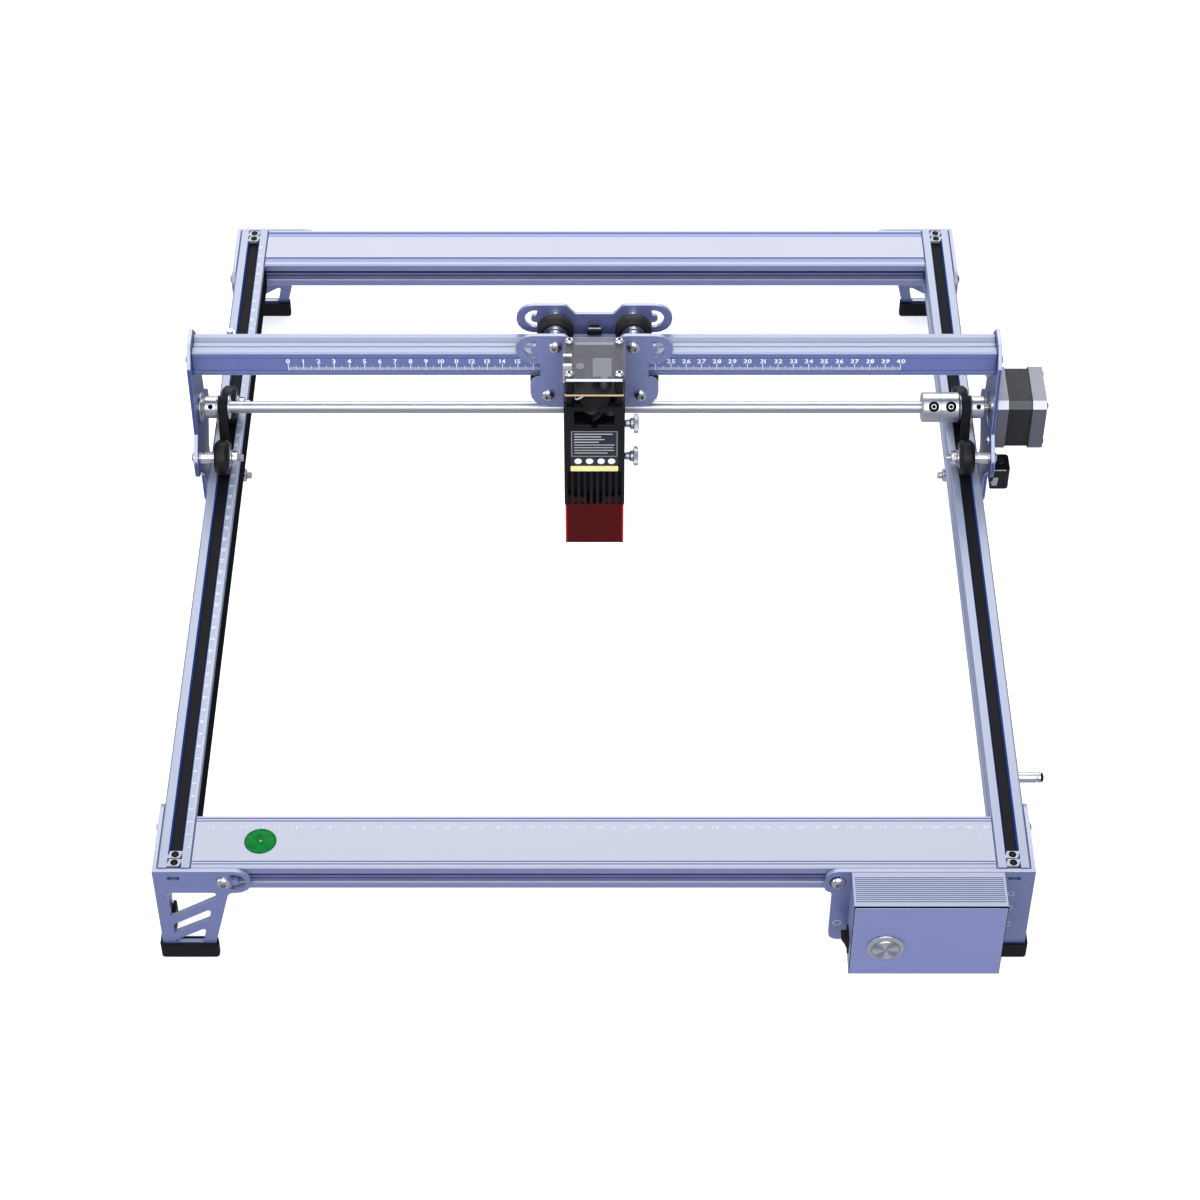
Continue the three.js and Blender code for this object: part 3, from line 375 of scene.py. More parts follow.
class Shape:
    """Closed solids gathered into one mesh, in millimetres."""

    def __init__(self):
        self.bm = bmesh.new()

    def loop_faces(self, rings, closed):
        """Quads between rings of equal length; the first and last are capped, or joined when closed."""
        for a, b in zip(rings, rings[1:] + (rings[:1] if closed else [])):
            count = max(len(a), len(b))
            for i in range(count):
                corners = [a[i % len(a)], a[(i + 1) % len(a)], b[(i + 1) % len(b)], b[i % len(b)]]
                unique = list(dict.fromkeys(corners))
                if len(unique) > 2:
                    self.bm.faces.new(unique)
        if not closed:
            for ring in (rings[0], rings[-1]):
                if len(ring) > 2:
                    self.bm.faces.new(ring)

    def box(self, x0, x1, y0, y1, z0, z1):
        return self.prism([(x0, y0), (x1, y0), (x1, y1), (x0, y1)], "z", z0, z1)

    def prism(self, points, axis, start, end, top=None):
        """An outline pushed along an axis: (y, z) along x, (x, z) along y, (x, y) along z."""
        place = {
            "x": lambda a, b, t: (t, a, b),
            "y": lambda a, b, t: (a, t, b),
            "z": lambda a, b, t: (a, b, t),
        }[axis]
        rings = [
            [self.bm.verts.new(place(a, b, t)) for a, b in outline]
            for outline, t in ((points, start), (top or points, end))
        ]
        self.loop_faces(rings, False)
        return self

    def turned(self, profile, axis, centre, sides=40):
        """A profile of (radius, height[, corners]) points turned about an axis through centre. A ring with
        corners = 6 is a hexagon, its radius across the flats."""
        turn = AXES[axis] if isinstance(axis, str) else facing(axis)
        centre = Vector(centre)
        rings = []
        for radius, height, *corners in profile:
            if radius < 1e-6:
                rings.append([self.bm.verts.new(centre + turn @ Vector((0, 0, height)))])
                continue
            ring = []
            for i in range(sides):
                angle = 2 * math.pi * i / sides
                r = radius
                if corners:
                    step = 2 * math.pi / corners[0]
                    r = radius / math.cos((angle + step / 2) % step - step / 2)
                ring.append(
                    self.bm.verts.new(centre + turn @ Vector((r * math.cos(angle), r * math.sin(angle), height)))
                )
            rings.append(ring)
        self.loop_faces(rings, len(rings[0]) > 1 and len(rings[-1]) > 1)
        return self

    def rod(self, radius, start, end, axis, centre, sides=40):
        """A plain cylinder between two heights over its centre."""
        return self.turned([(0, start), (radius, start), (radius, end), (0, end)], axis, centre, sides)

    def ring(self, inner, outer, start, end, axis, centre, sides):
        """A band with square edges between two radii."""
        return self.turned([(inner, start), (inner, end), (outer, end), (outer, start)], axis, centre, sides)

    def tube(self, points, radius, sides=10):
        """A round wire along a line of points."""
        line = [Vector(p) for p in points]
        rings = []
        for i, point in enumerate(line):
            along = (line[min(i + 1, len(line) - 1)] - line[max(i - 1, 0)]).normalized()
            turn = along.to_track_quat("Z", "Y").to_matrix()
            rings.append([
                self.bm.verts.new(point + turn @ Vector((radius * math.cos(a), radius * math.sin(a), 0)))
                for a in (2 * math.pi * k / sides for k in range(sides))
            ])
        self.loop_faces(rings, False)
        return self


def rounded(corners, steps=5):
    """An outline of corners (a, b, radius), with each corner rounded by an arc."""
    points = []
    for i, (a, b, radius) in enumerate(corners):
        here = Vector((a, b))
        if not radius:
            points.append((a, b))
            continue
        before = (Vector(corners[i - 1][:2]) - here).normalized()
        after = (Vector(corners[(i + 1) % len(corners)][:2]) - here).normalized()
        half = before.angle(after) / 2
        centre = here + (before + after).normalized() * radius / math.sin(half)
        start = here + before * radius / math.tan(half) - centre
        sweep = math.copysign(math.pi - 2 * half, before.cross(after))
        for k in range(steps + 1):
            turn = Matrix.Rotation(-sweep * k / steps, 2)
            points.append(tuple(centre + turn @ start))
    return points


def rectangle(a0, a1, b0, b1, radius=0.0):
    return rounded([(a0, b0, radius), (a1, b0, radius), (a1, b1, radius), (a0, b1, radius)])


SHARP = math.radians(32)  # an edge that bends more than this is a sharp one


def soften(obj, width, edge=None):
    """Rounds the sharp edges; with edge, the rounded faces take that material: paler, partly as worn edges are and
    partly as a painted highlight where the edges catch the light.
    """
    bevel = obj.modifiers.new("Bevel", "BEVEL")
    bevel.width = width * MM
    bevel.segments = 2
    bevel.limit_method = "ANGLE"
    bevel.angle_limit = SHARP
    bevel.miter_outer = "MITER_ARC"
    bevel.harden_normals = True
    if edge:
        obj.data.materials.append(edge)
        bevel.material = len(obj.data.materials) - 1


def piece(name, shape, material, body, replaces=(), bevel=0):
    """One visual piece: its mesh in place, its material, and the CAD body that it rides on."""
    bmesh.ops.recalc_face_normals(shape.bm, faces=shape.bm.faces)
    mesh = bpy.data.meshes.new(name)
    shape.bm.to_mesh(mesh)
    shape.bm.free()
    mesh.transform(Matrix.Translation(ORIGIN) @ Matrix.Scale(MM, 4))
    mesh.shade_smooth()
    mesh.set_sharp_from_angle(angle=SHARP)
    mesh.materials.append(material)
    obj = bpy.data.objects.new(name, mesh)
    bpy.context.scene.collection.objects.link(obj)
    if bevel:
        soften(obj, bevel)
    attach(obj, body)
    if replaces:
        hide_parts(*replaces)


def smooth_flat_edges():
    """A node group that shades smoothly over every edge that isn't sharp."""
    tree = bpy.data.node_groups.new("smooth_by_angle", "GeometryNodeTree")
    tree.interface.new_socket("Geometry", in_out="INPUT", socket_type="NodeSocketGeometry")
    tree.interface.new_socket("Geometry", in_out="OUTPUT", socket_type="NodeSocketGeometry")
    start, end = tree.nodes.new("NodeGroupInput"), tree.nodes.new("NodeGroupOutput")
    plain = tree.nodes.new("GeometryNodeRemoveAttribute")
    plain.inputs["Name"].default_value = "custom_normal"
    faces, edges = (tree.nodes.new("GeometryNodeSetShadeSmooth") for _ in range(2))
    faces.domain, edges.domain = "FACE", "EDGE"
    faces.inputs["Shade Smooth"].default_value = True
    edges.inputs["Shade Smooth"].default_value = False
    bend = tree.nodes.new("GeometryNodeInputMeshEdgeAngle")
    sharp = tree.nodes.new("ShaderNodeMath")
    sharp.operation = "GREATER_THAN"
    sharp.inputs[1].default_value = SHARP
    tree.links.new(bend.outputs["Unsigned Angle"], sharp.inputs[0])
    tree.links.new(sharp.outputs[0], edges.inputs["Selection"])
    for a, b in ((start, plain), (plain, faces), (faces, edges), (edges, end)):
        tree.links.new(a.outputs["Geometry"], b.inputs["Geometry"])
    return tree


SMOOTH = smooth_flat_edges()


def keep(name, material, bevel, edge):
    """A CAD node that stays: it gets a material and, by modifiers, soft edges."""
    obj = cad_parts[name]
    obj.data.materials.clear()
    obj.data.materials.append(material)
    weld = obj.modifiers.new("Weld", "WELD")
    weld.merge_threshold = 0.002 * MM
    if bevel:
        flat = obj.modifiers.new("Flat", "DECIMATE")
        flat.decimate_type = "DISSOLVE"
        flat.angle_limit = math.radians(1)
    obj.modifiers.new("Smooth", "NODES").node_group = SMOOTH
    if bevel:
        soften(obj, bevel, edge)


# ---- hardware ----
def button_head(shape, axis, centre, radius=4.2, height=2.6, socket=1.5):
    """A domed screw head with a hexagonal socket."""
    dome = [(radius, 0), (radius, 0.35)]
    for k in range(1, 6):
        angle = math.radians(14 * k)
        dome.append((radius * math.cos(angle) * 0.98 + 0.02 * radius, 0.35 + (height - 0.35) * math.sin(angle)))
    flat = [(socket * 1.25, height), (socket, height - 0.15, 6), (socket, height - height * 0.55, 6),
            (0, height - height * 0.62)]
    return shape.turned([(0, 0)] + dome + flat, axis, centre, 48)


def hex_nut(shape, axis, centre, flats=4.0, height=4.0):
    points = [(0, 0), (flats * 0.95, 0), (flats, 0.35, 6), (flats, height - 0.35, 6), (flats * 0.95, height)]
    return shape.turned(points + [(0, height)], axis, centre, 48)


def bolt_end(shape, axis, centre, radius=2.5, length=3.5):
    """A threaded end, with its thread as rings."""
    points = [(0, 0)]
    pitch = 0.8
    for k in range(int(length / pitch)):
        points += [(radius - 0.25, k * pitch + 0.05), (radius, k * pitch + 0.4)]
    points += [(radius - 0.3, length - 0.1), (radius - 0.7, length), (0, length)]
    return shape.turned(points, axis, centre, 28)


WHEEL_R, WHEEL_HALF, WHEEL_BORE = 12, 5.1, 5
TYRE = [
    (WHEEL_BORE, -4.2), (7.9, -4.2), (8.3, -WHEEL_HALF), (9.4, -WHEEL_HALF), (10.0, -4.8), (11.3, -3.2),
    (11.85, -2.7), (WHEEL_R, -2.3), (WHEEL_R, 2.3), (11.85, 2.7), (11.3, 3.2), (10.0, 4.8), (9.4, WHEEL_HALF),
    (8.3, WHEEL_HALF), (7.9, 4.2), (WHEEL_BORE, 4.2),
]
BEARING = [
    (2.7, -4.6), (3.9, -4.6), (4.0, -4.3), (6.6, -4.3), (6.7, -4.6), (7.7, -4.6), (7.8, -4.3), (4.9, -4.1),
    (4.9, 4.1), (7.8, 4.3), (7.7, 4.6), (6.7, 4.6), (6.6, 4.3), (4.0, 4.3), (3.9, 4.6), (2.7, 4.6),
]


def wheel(node, axis):
    low, high = node_box(node)
    centre = (low + high) / 2
    piece(node + "_tyre", Shape().turned(TYRE, axis, centre, 64), WHEEL, node, (node,), 0.15)
    piece(node + "_bearing", Shape().turned(BEARING, axis, centre, 48), STEEL, node)
    return centre


SIDES = (-1, "left", "-x"), (1, "right", "x")  # sign of X, name, and the way out
plate_in, plate_out = (corner.x for corner in node_box("right_gantry_plate"))
for side, word, out in SIDES:
    inn = "-x" if side > 0 else "x"
    for place in ("front", "rear", "bottom"):
        centre = wheel(f"{word}_{place}_wheel", "x")
        bolt = Shape()
        spacer = [(2.4, 0), (4.2, 0), (4.2, 1), (3.9, 1.3), (3.9, 8.6), (4.2, 8.9), (4.2, 10.1), (2.4, 10.1)]
        bolt.turned(spacer, inn, (side * (plate_in - 0.05), centre.y, centre.z))
        inner = side * (abs(centre.x) - WHEEL_HALF)
        bolt.turned([(0, 0), (5.2, 0), (5.4, 0.3), (5.4, 0.9), (5.1, 1.1), (0, 1.1)], inn, (inner, centre.y, centre.z))
        hex_nut(bolt, inn, (inner - side * 1.1, centre.y, centre.z))
        bolt_end(bolt, inn, (inner - side * 5.0, centre.y, centre.z))
        if not (side > 0 and place == "bottom"):
            button_head(bolt, out, (side * plate_out, centre.y, centre.z))
        piece(f"{word}_{place}_wheel_bolt", bolt, CHROME, "gantry", (), 0.08)

front_face, front_back = (corner.y for corner in node_box("carriage_front_plate"))
rear_face, rear_back = (corner.y for corner in node_box("carriage_rear_plate"))
for row in ("upper", "lower"):
    for word in ("left", "right"):
        centre = wheel(f"carriage_{row}_{word}_wheel", "y")
        bolt = Shape()
        button_head(bolt, "-y", (centre.x, front_face, centre.z), 4.5, 3.0, 1.6)
        for start, end in ((front_back, centre.y - WHEEL_HALF), (centre.y + WHEEL_HALF, rear_face)):
            length = end - start
            ring = [(2.4, 0), (4.4, 0), (4.4, 1.2), (3.9, 1.5), (3.9, length - 1.5), (4.4, length - 1.2)]
            bolt.turned(ring + [(4.4, length), (2.4, length)], "y", (centre.x, start, centre.z))
        hex_nut(bolt, "y", (centre.x, rear_back, centre.z))
        bolt_end(bolt, "y", (centre.x, rear_back + 3.9, centre.z), length=2.8)
        piece(f"carriage_{row}_{word}_wheel_bolt", bolt, CHROME, "carriage", (), 0.08)

# Screws and bolts of the fixed frame.
corner_x = node_box("front_left_bracket")[0].x
front_y, rear_y = node_box("front_left_bracket")[0].y, node_box("rear_left_bracket")[1].y
TAB_X, CARRIER_TAB_X, BOLT_Z = 218.3, 144.2, -10.5
SIDE_BOLT_Y, SIDE_BOLT_Z = {"front": 41, "rear": 554}, -12.5
for name, x, y, axis in (
    ("front_left", -TAB_X, front_y, "-y"),
    ("front_right", CARRIER_TAB_X, front_y, "-y"),
    ("rear_left", -TAB_X, rear_y, "y"),
    ("rear_right", TAB_X, rear_y, "y"),
):
    head = button_head(Shape(), axis, (x, y, BOLT_Z), 4.5, 3.2, 1.6)
    piece(name + "_bracket_bolt", head, CHROME, "frame", (), 0.06)
    end, word = name.split("_")
    side, _, out = SIDES[word == "right"]
    head = button_head(Shape(), out, (side * -corner_x, SIDE_BOLT_Y[end], SIDE_BOLT_Z), 4.2, 2.6)
    piece(name + "_side_bolt", head, CHROME if side < 0 else DARK_STEEL, "frame", (), 0.06)

# Two tilted nuts with set screws clamp each belt's end in its slot.
CLAMP_X, LEAN = 247.0, 0.9
rail_end = node_box("left_rail")[1].y
for side, word, out in SIDES:
    for name, ys in (("front", (3.9, 10.0)), ("rear", (rail_end - 3.9, rail_end - 10.0))):
        nuts, screws, sockets = Shape(), Shape(), Shape()
        for y in ys:
            x = side * CLAMP_X
            low = [(x - 3.2 - LEAN, y - 2.7), (x + 3.2 - LEAN, y - 2.7),
                   (x + 3.2 + LEAN, y + 2.7), (x - 3.2 + LEAN, y + 2.7)]
            top = [(a + (0.8 if a > x else -0.8), b) for a, b in low]
            nuts.prism(low, "z", -2.2, -0.1, top)
            screws.rod(2.25, -0.3, 0.03, "z", (x, y, -0.1), 36)
            sockets.ring(1.0, 0.6, 0, 0.06, "z", (x, y, -0.08), 24)
        piece(f"{name}_{word}_belt_clamp", nuts, CLAMP, "frame", (), 0.25)
        # Near-black discs: the set screws' dark tops, with painted shadow in their holes.
        piece(f"{name}_{word}_clamp_screws", screws, BLACK_SHADOW, "frame")
        piece(f"{name}_{word}_clamp_sockets", sockets, DARK_STEEL, "frame")

# ---- drive: shaft, coupling, pulleys, belts ----
low, high = node_box("drive_shaft")
_, shaft_y, shaft_z = middle(low, high)
shaft_r, length = (high.z - low.z) / 2, high.x - low.x
rod = [(0, 0), (shaft_r - 0.4, 0), (shaft_r, 0.4), (shaft_r, length - 0.4), (shaft_r - 0.4, length), (0, length)]
piece("drive_shaft_rod", Shape().turned(rod, "x", (low.x, shaft_y, shaft_z), 56), SHAFT, "y_drive",
      ("drive_shaft",))

low, high = node_box("shaft_coupling")
coupling_x, reach, r = middle(low, high)[0], (high.x - low.x) / 2, (high.z - low.z) / 2
sleeve = [
    (4.3, -reach), (r - 0.8, -reach), (r, -reach + 0.8), (r, -0.5), (r - 0.25, -0.3), (r - 0.25, 0.3), (r, 0.5),
    (r, reach - 0.8), (r - 0.8, reach), (3.4, reach), (3.4, -reach + 12), (4.3, -reach + 11.9),
]
piece("coupling_sleeve", Shape().turned(sleeve, "x", (coupling_x, shaft_y, shaft_z), 64), SATIN, "y_drive",
      ("shaft_coupling",), 0.1)
screws, sockets = Shape(), Shape()
FRONT_UP = Vector((0, -0.72, 0.69))
COUPLING_SCREWS_X = 225.0, 236.4
for x in COUPLING_SCREWS_X:
    for way in (FRONT_UP, -FRONT_UP):
        at = Vector((x, shaft_y, shaft_z)) + way * r
        screws.rod(3.5, -1.6, 0.12, way, at, 40)
        sockets.turned([(1.7, 0.05), (1.7, 0.2), (1.2, 0.2, 6), (1.2, 0.05, 6)], way, at, 36)
# Dark discs: painted shadow in the set screws' holes.
piece("coupling_screw_hole_shadows", screws, BLACK_SHADOW, "y_drive")
piece("coupling_set_screws", sockets, THUMB, "y_drive")


TEETH, TOOTH_FOOT, TOOTH_TIP, DRUM_HALF = 20, 5.6, 6.1, 3.5


def drum(centre, axis, flange_r):
    """The grooved drum of a pulley, between its flanges."""
    shape = Shape()
    count = TEETH * 4
    outline = []
    for i in range(count):
        radius = TOOTH_TIP if i % 4 in (0, 1) else TOOTH_FOOT
        angle = 2 * math.pi * i / count
        outline.append((radius * math.cos(angle), radius * math.sin(angle)))
    across, along = (1, 0) if axis == "x" else (0, 1)
    points = [(centre[across] + a, centre[2] + b) for a, b in outline]
    shape.prism(points, axis, centre[along] - DRUM_HALF, centre[along] + DRUM_HALF)
    for at in (-4.2, 3.4):
        ring = [(4.0, at), (flange_r - 0.3, at), (flange_r, at + 0.3), (flange_r - 0.1, at + 0.8), (4.0, at + 0.8)]
        shape.turned(ring, axis, centre, 56)
    return shape


rail_x = -node_box("left_belt")[0].x - 3
for side, word, out in SIDES:
    centre = (side * rail_x, shaft_y, shaft_z)
    pulley = drum(centre, "x", 8.2)
    hub = [(3.9, 4.1), (7.1, 4.1), (7.4, 4.4), (7.4, 11.8), (7.0, 12.2), (3.9, 12.2)]
    pulley.turned(hub, out, centre, 56)
    if side > 0:
        pulley.turned([(0, 12), (2.5, 12), (2.5, 15.4), (2.2, 15.6), (0, 15.6)], out, centre, 28)
    piece(word + "_drive_pulley", pulley, SATIN, "y_drive", (word + "_pulley",), 0.06)
    at = Vector((side * (rail_x + 8), shaft_y, shaft_z)) + FRONT_UP * 7.5
    # A black set screw in its hole, near black with painted shadow.
    screw = Shape().rod(1.6, -1, 0.1, FRONT_UP, at, 32)
    piece(word + "_pulley_set_screw", screw, BLACK_SHADOW, "y_drive")

belt_y, x_pulley_z = middle(*node_box("beam_belt"))[1], middle(*node_box("carriage_pulley"))[2]
centre = (0, belt_y, x_pulley_z)
pulley = drum(centre, "y", 7.4)
pulley.turned([(0, -5.0), (6.8, -5.0), (7.2, -4.6), (7.2, -4.1), (0, -4.1)], "y", centre, 48)
pulley.turned([(0, 4.1), (7.1, 4.1), (7.4, 4.4), (7.4, 10.7), (7.1, 11), (2.5, 11), (2.5, 13.6), (0, 13.8)],
              "y", centre, 48)
piece("carriage_drive_pulley", pulley, SATIN, "x_drive", ("carriage_pulley",), 0.06)

BELT_THICK, LOOP_R, PULLEY_BELT_R = 1.2, 13.0, 7.1


def omega(idler_a, idler_b, pulley_b):
    """The middle line of a belt that goes round two idlers and the pulley between them."""
    reach = math.hypot(idler_a, pulley_b - idler_b)
    lean = math.atan2(pulley_b - idler_b, idler_a)
    way = math.copysign(1, pulley_b - idler_b)
    tilt = lean - way * math.acos((LOOP_R + PULLEY_BELT_R) / reach)

    def arc(a, b, radius, start, end, steps):
        angles = (start + (end - start) * k / steps for k in range(steps + 1))
        return [(a + radius * math.cos(t), b + radius * math.sin(t)) for t in angles]

    quarter = math.pi / 2
    over = way * quarter + (2 * math.pi if way < 0 else 0)
    left = arc(-idler_a, idler_b, LOOP_R, -quarter * way, tilt, 24)
    left += arc(0, pulley_b, PULLEY_BELT_R, math.pi + tilt, over, 24)
    return left + [(-a, b) for a, b in reversed(left[:-1])]


def toothed_belt(line, way, axis, start, end, shift=(0, 0)):
    """A belt along a line, its teeth on the side that grips the pulley."""
    points, gone, pitch = [], 0.0, 0.5
    for (a, b), (c, d) in zip(line, line[1:]):
        length = math.hypot(c - a, d - b)
        while gone < length:
            t = gone / length
            points.append((a + (c - a) * t, b + (d - b) * t))
            gone += pitch
        gone -= length
    points.append(line[-1])
    back, teeth = [], []
    for i, (a, b) in enumerate(points):
        c, d = points[max(i - 1, 0)]
        e, f = points[min(i + 1, len(points) - 1)]
        size = math.hypot(e - c, f - d)
        nx, ny = -(f - d) / size * way, (e - c) / size * way
        inner = BELT_THICK / 2 + (0.35 if i % 4 in (0, 1) else 0)
        back.append((a + nx * BELT_THICK / 2 + shift[0], b + ny * BELT_THICK / 2 + shift[1]))
        teeth.append((a - nx * inner + shift[0], b - ny * inner + shift[1]))
    return Shape().prism(back + teeth[::-1], axis, start, end)


low, high = node_box("right_front_wheel")
_, wheel_y, wheel_z = middle(low, high)
gantry_y = (low.y + node_box("right_rear_wheel")[1].y) / 2
line = omega(gantry_y - wheel_y, wheel_z, shaft_z)
for side, word, out in SIDES:
    x = side * rail_x
    loop = toothed_belt(line, 1, "x", x - 3, x + 3, (gantry_y, 0))
    piece(word + "_toothed_loop", loop, BELT, "gantry", (word + "_belt_loop",))
wheel_x, _, wheel_z = middle(*node_box("carriage_lower_right_wheel"))
line = omega(wheel_x, wheel_z, x_pulley_z)
loop = toothed_belt(line, -1, "y", belt_y - 3, belt_y + 3)
piece("carriage_toothed_loop", loop, BELT, "carriage", ("carriage_belt_loop",))

# ---- gantry fittings ----
bearing = Shape()
left_in = -plate_in
bearing.turned(
    [(4.1, -3.4), (8.6, -3.4), (8.8, -3.0), (8.8, 0), (10.2, 0), (10.4, 0.3), (10.4, 1.0), (10.0, 1.3),
     (7.6, 1.3), (7.4, 0.9), (5.6, 0.9), (5.4, 1.3), (4.1, 1.3)],
    "x", (left_in, shaft_y, shaft_z), 56,
)
piece("left_shaft_bearing", bearing, STEEL, "gantry", (), 0.08)

MOTOR_BOLT = 15.5  # from the shaft, each way
screws = Shape()
for dy in (-MOTOR_BOLT, MOTOR_BOLT):
    for dz in (-MOTOR_BOLT, MOTOR_BOLT):
        button_head(screws, "-x", (plate_in, shaft_y + dy, shaft_z + dz), 2.9, 2.2, 1.1)
piece("gantry_motor_bolts", screws, CHROME, "gantry", (), 0.05)

beam_low, beam_high = node_box("gantry_beam")
_, beam_y, beam_z = middle(beam_low, beam_high)
for side, word, out in SIDES:
    heads = Shape()
    for dy in (-5, 5):
        button_head(heads, out, (side * plate_out, beam_y + dy, beam_z), 4.0, 2.4, 1.4)
    piece(word + "_beam_bolts", heads, CHROME, "gantry", (), 0.06)


def chamfered(half, cut, a, b):
    outline = [(half, cut - half), (half, half - cut), (half - cut, half), (cut - half, half), (-half, half - cut),
               (-half, cut - half), (cut - half, -half), (half - cut, -half)]
    return [(a + p, b + q) for p, q in outline]


def motor(node, word, axis, body, a, b):
    """A square stepper motor: flange, iron stack and end cap, with long screws and a socket."""
    def at(along, p=0, q=0):
        return (along, a + p, b + q) if axis == "x" else (a + p, along, b + q)

    low, high = node_box(node)
    start = (low.x if axis == "x" else low.y) + 2.3
    end = high.x if axis == "x" else high.y
    half = (high.z - low.z) / 2
    cut = half * 0.2
    ends = Shape().prism(chamfered(half, cut, a, b), axis, start, start + 7.1)
    ends.prism(chamfered(half, cut, a, b), axis, end - 9.3, end)
    ends.turned([(2.8, -2.3), (10.7, -2.3), (11, -2), (11, 0.2), (2.8, 0.2)], axis, at(start), 48)
    ends.turned([(0, -0.2), (4.6, -0.2), (4.6, -0.05), (2.4, -0.05), (2.2, 0.2), (0, 0.2)], axis, at(end), 32)
    piece(word + "_motor_castings", ends, CAST, body, (node,), 0.45)
    stack = Shape().prism(chamfered(half - 0.9, cut, a, b), axis, start + 7, end - 9.2)
    piece(word + "_motor_stack", stack, LAMINATED, body, (), 0.2)
    screws = Shape()
    reach = half - 5.65
    for p in (-reach, reach):
        for q in (-reach, reach):
            button_head(screws, axis, at(end, p, q), 2.7, 1.4, 1.0)
    piece(word + "_motor_tail_screws", screws, DARK_STEEL, body)
    (x0, y0, z0), (x1, y1, z1) = at(end - 8.5, -7, -half - 2.4), at(end - 1.5, 7, -half + 0.5)
    socket = Shape().box(x0, x1, y0, y1, z0, z1)
    piece(word + "_motor_socket", socket, INK, body, (), 0.3)


motor("gantry_motor", "gantry", "x", "gantry", shaft_y, shaft_z)
motor("carriage_motor", "carriage", "y", "carriage", 0, x_pulley_z)

# The limit switch's box: a moulded case with a pale strip painted as the highlight on its front edge, a screw, and a
# plated contact in front.
low, high = node_box("limit_switch_box")
outline = rounded([(low.x, low.y, 0), (high.x, low.y, 2.5), (high.x, high.y, 2.5), (low.x, high.y, 0)])
case = Shape().prism(outline, "z", low.z, high.z)
piece("limit_switch_case", case, PLASTIC, "gantry", ("limit_switch_box",), 0.5)
# Painted highlight along the case's top front edge.
edge_highlight = Shape().box(low.x + 0.3, high.x - 2.6, low.y - 0.06, low.y + 0.5, high.z - 0.55, high.z + 0.04)
piece("limit_switch_edge_highlight", edge_highlight, GREY_INK, "gantry", (), 0.12)
contact = Shape().prism([(low.x + 0.9, low.z + 3.4), (low.x + 4.6, low.z + 3.4), (low.x + 5.2, low.z + 10.6),
                         (low.x + 1.7, low.z + 10.6)], "y", low.y - 0.4, low.y + 2)
contact.box(low.x + 0.4, low.x + 1.6, low.y - 0.3, low.y + 1, low.z + 5.4, low.z + 7)
piece("limit_switch_contact", contact, NICKEL, "gantry", (), 0.15)
head = button_head(Shape(), "z", (low.x + 6.5, middle(low, high)[1], high.z), 2.4, 1.4, 0.9)
piece("limit_switch_screw", head, DARK_STEEL, "gantry")

# A threaded post behind the beam, and the carriage's stop between its upper wheels.
STOP_POST_X, STOP_POST_Y = -240, 386
post = Shape()
hex_nut(post, "z", (STOP_POST_X, STOP_POST_Y, 76), 3.6, 5)
bolt_end(post, "z", (STOP_POST_X, STOP_POST_Y, 80.9), 2.4, 2.6)
post.rod(2.4, 0, 7, "y", (STOP_POST_X, beam_high.y - 0.3, 78), 24)
piece("left_stop_post", post, CHROME, "gantry", (), 0.08)
low_z, face = beam_high.z + 1.2, rear_face - 7.5
stop = Shape().prism([(-4.8, low_z), (4.9, low_z), (4.6, low_z + 3.6), (-4.4, low_z + 3.6)], "y", face, face + 3)
stop.box(-3, 3, face + 2.9, rear_face - 0.1, low_z + 0.2, low_z + 2.6)
piece("carriage_stop", stop, PLASTIC, "carriage", (), 0.3)
# A pale strip on the stop's top: painted light falling on it.
cap = Shape().box(-3.9, 4.2, face + 1.9, face + 2.8, low_z + 3.5, low_z + 3.9)
piece("carriage_stop_lit_top", cap, FROSTED, "carriage", (), 0.15)

# The end-stop pin: a turned rod with a groove and a rubber tip.
low, high = node_box("end_stop_pin")
_, y, z = middle(low, high)
r, reach = (high.z - low.z) / 2, high.x - low.x
pin = [(0, 0), (r, 0), (r, reach - 4.6), (r - 0.5, reach - 4.4), (r - 0.5, reach - 3.6), (r, reach - 3.4),
       (r, reach - 2), (0, reach - 2)]
piece("pin_rod", Shape().turned(pin, "x", (low.x, y, z), 48), CHROME, "frame", ("end_stop_pin",), 0.1)
tip = [(0, -2.1), (r - 0.3, -2.1), (r - 0.3, -1.2), (r - 0.7, -0.5), (r - 1.5, -0.1), (0, 0)]
piece("pin_tip", Shape().turned(tip, "x", (high.x, y, z), 40), RUBBER, "frame")

# The bubble level: a rim, the green liquid with its ring, and the bubble.
low, high = node_box("bubble_level")
x, y, _ = middle(low, high)
r, top = (high.x - low.x) / 2, high.z
GREEN = level_material()
disc = [(0, low.z - top), (r, low.z - top), (r, -0.3), (r - 0.25, 0), (r - 0.8, 0), (r - 1.0, -0.25)]
disc += [(r - 1.4, -0.25), (r * 0.5, 0.1), (0, 0.2)]
piece("level_vial", Shape().turned(disc, "z", (x, y, top), 64), GREEN, "frame", ("bubble_level",))
ring = Shape().ring(2.5, 2.75, 0.05, 0.3, "z", (x, y, top), 48)
piece("level_ring", ring, GREEN, "frame")
bubble = [(0, 0.05), (0.55, 0.1), (0.5, 0.3), (0.3, 0.4), (0, 0.45)]
piece("level_bubble", Shape().turned(bubble, "z", (x + 0.2, y - 0.4, top), 32), FAINT_INK, "frame")

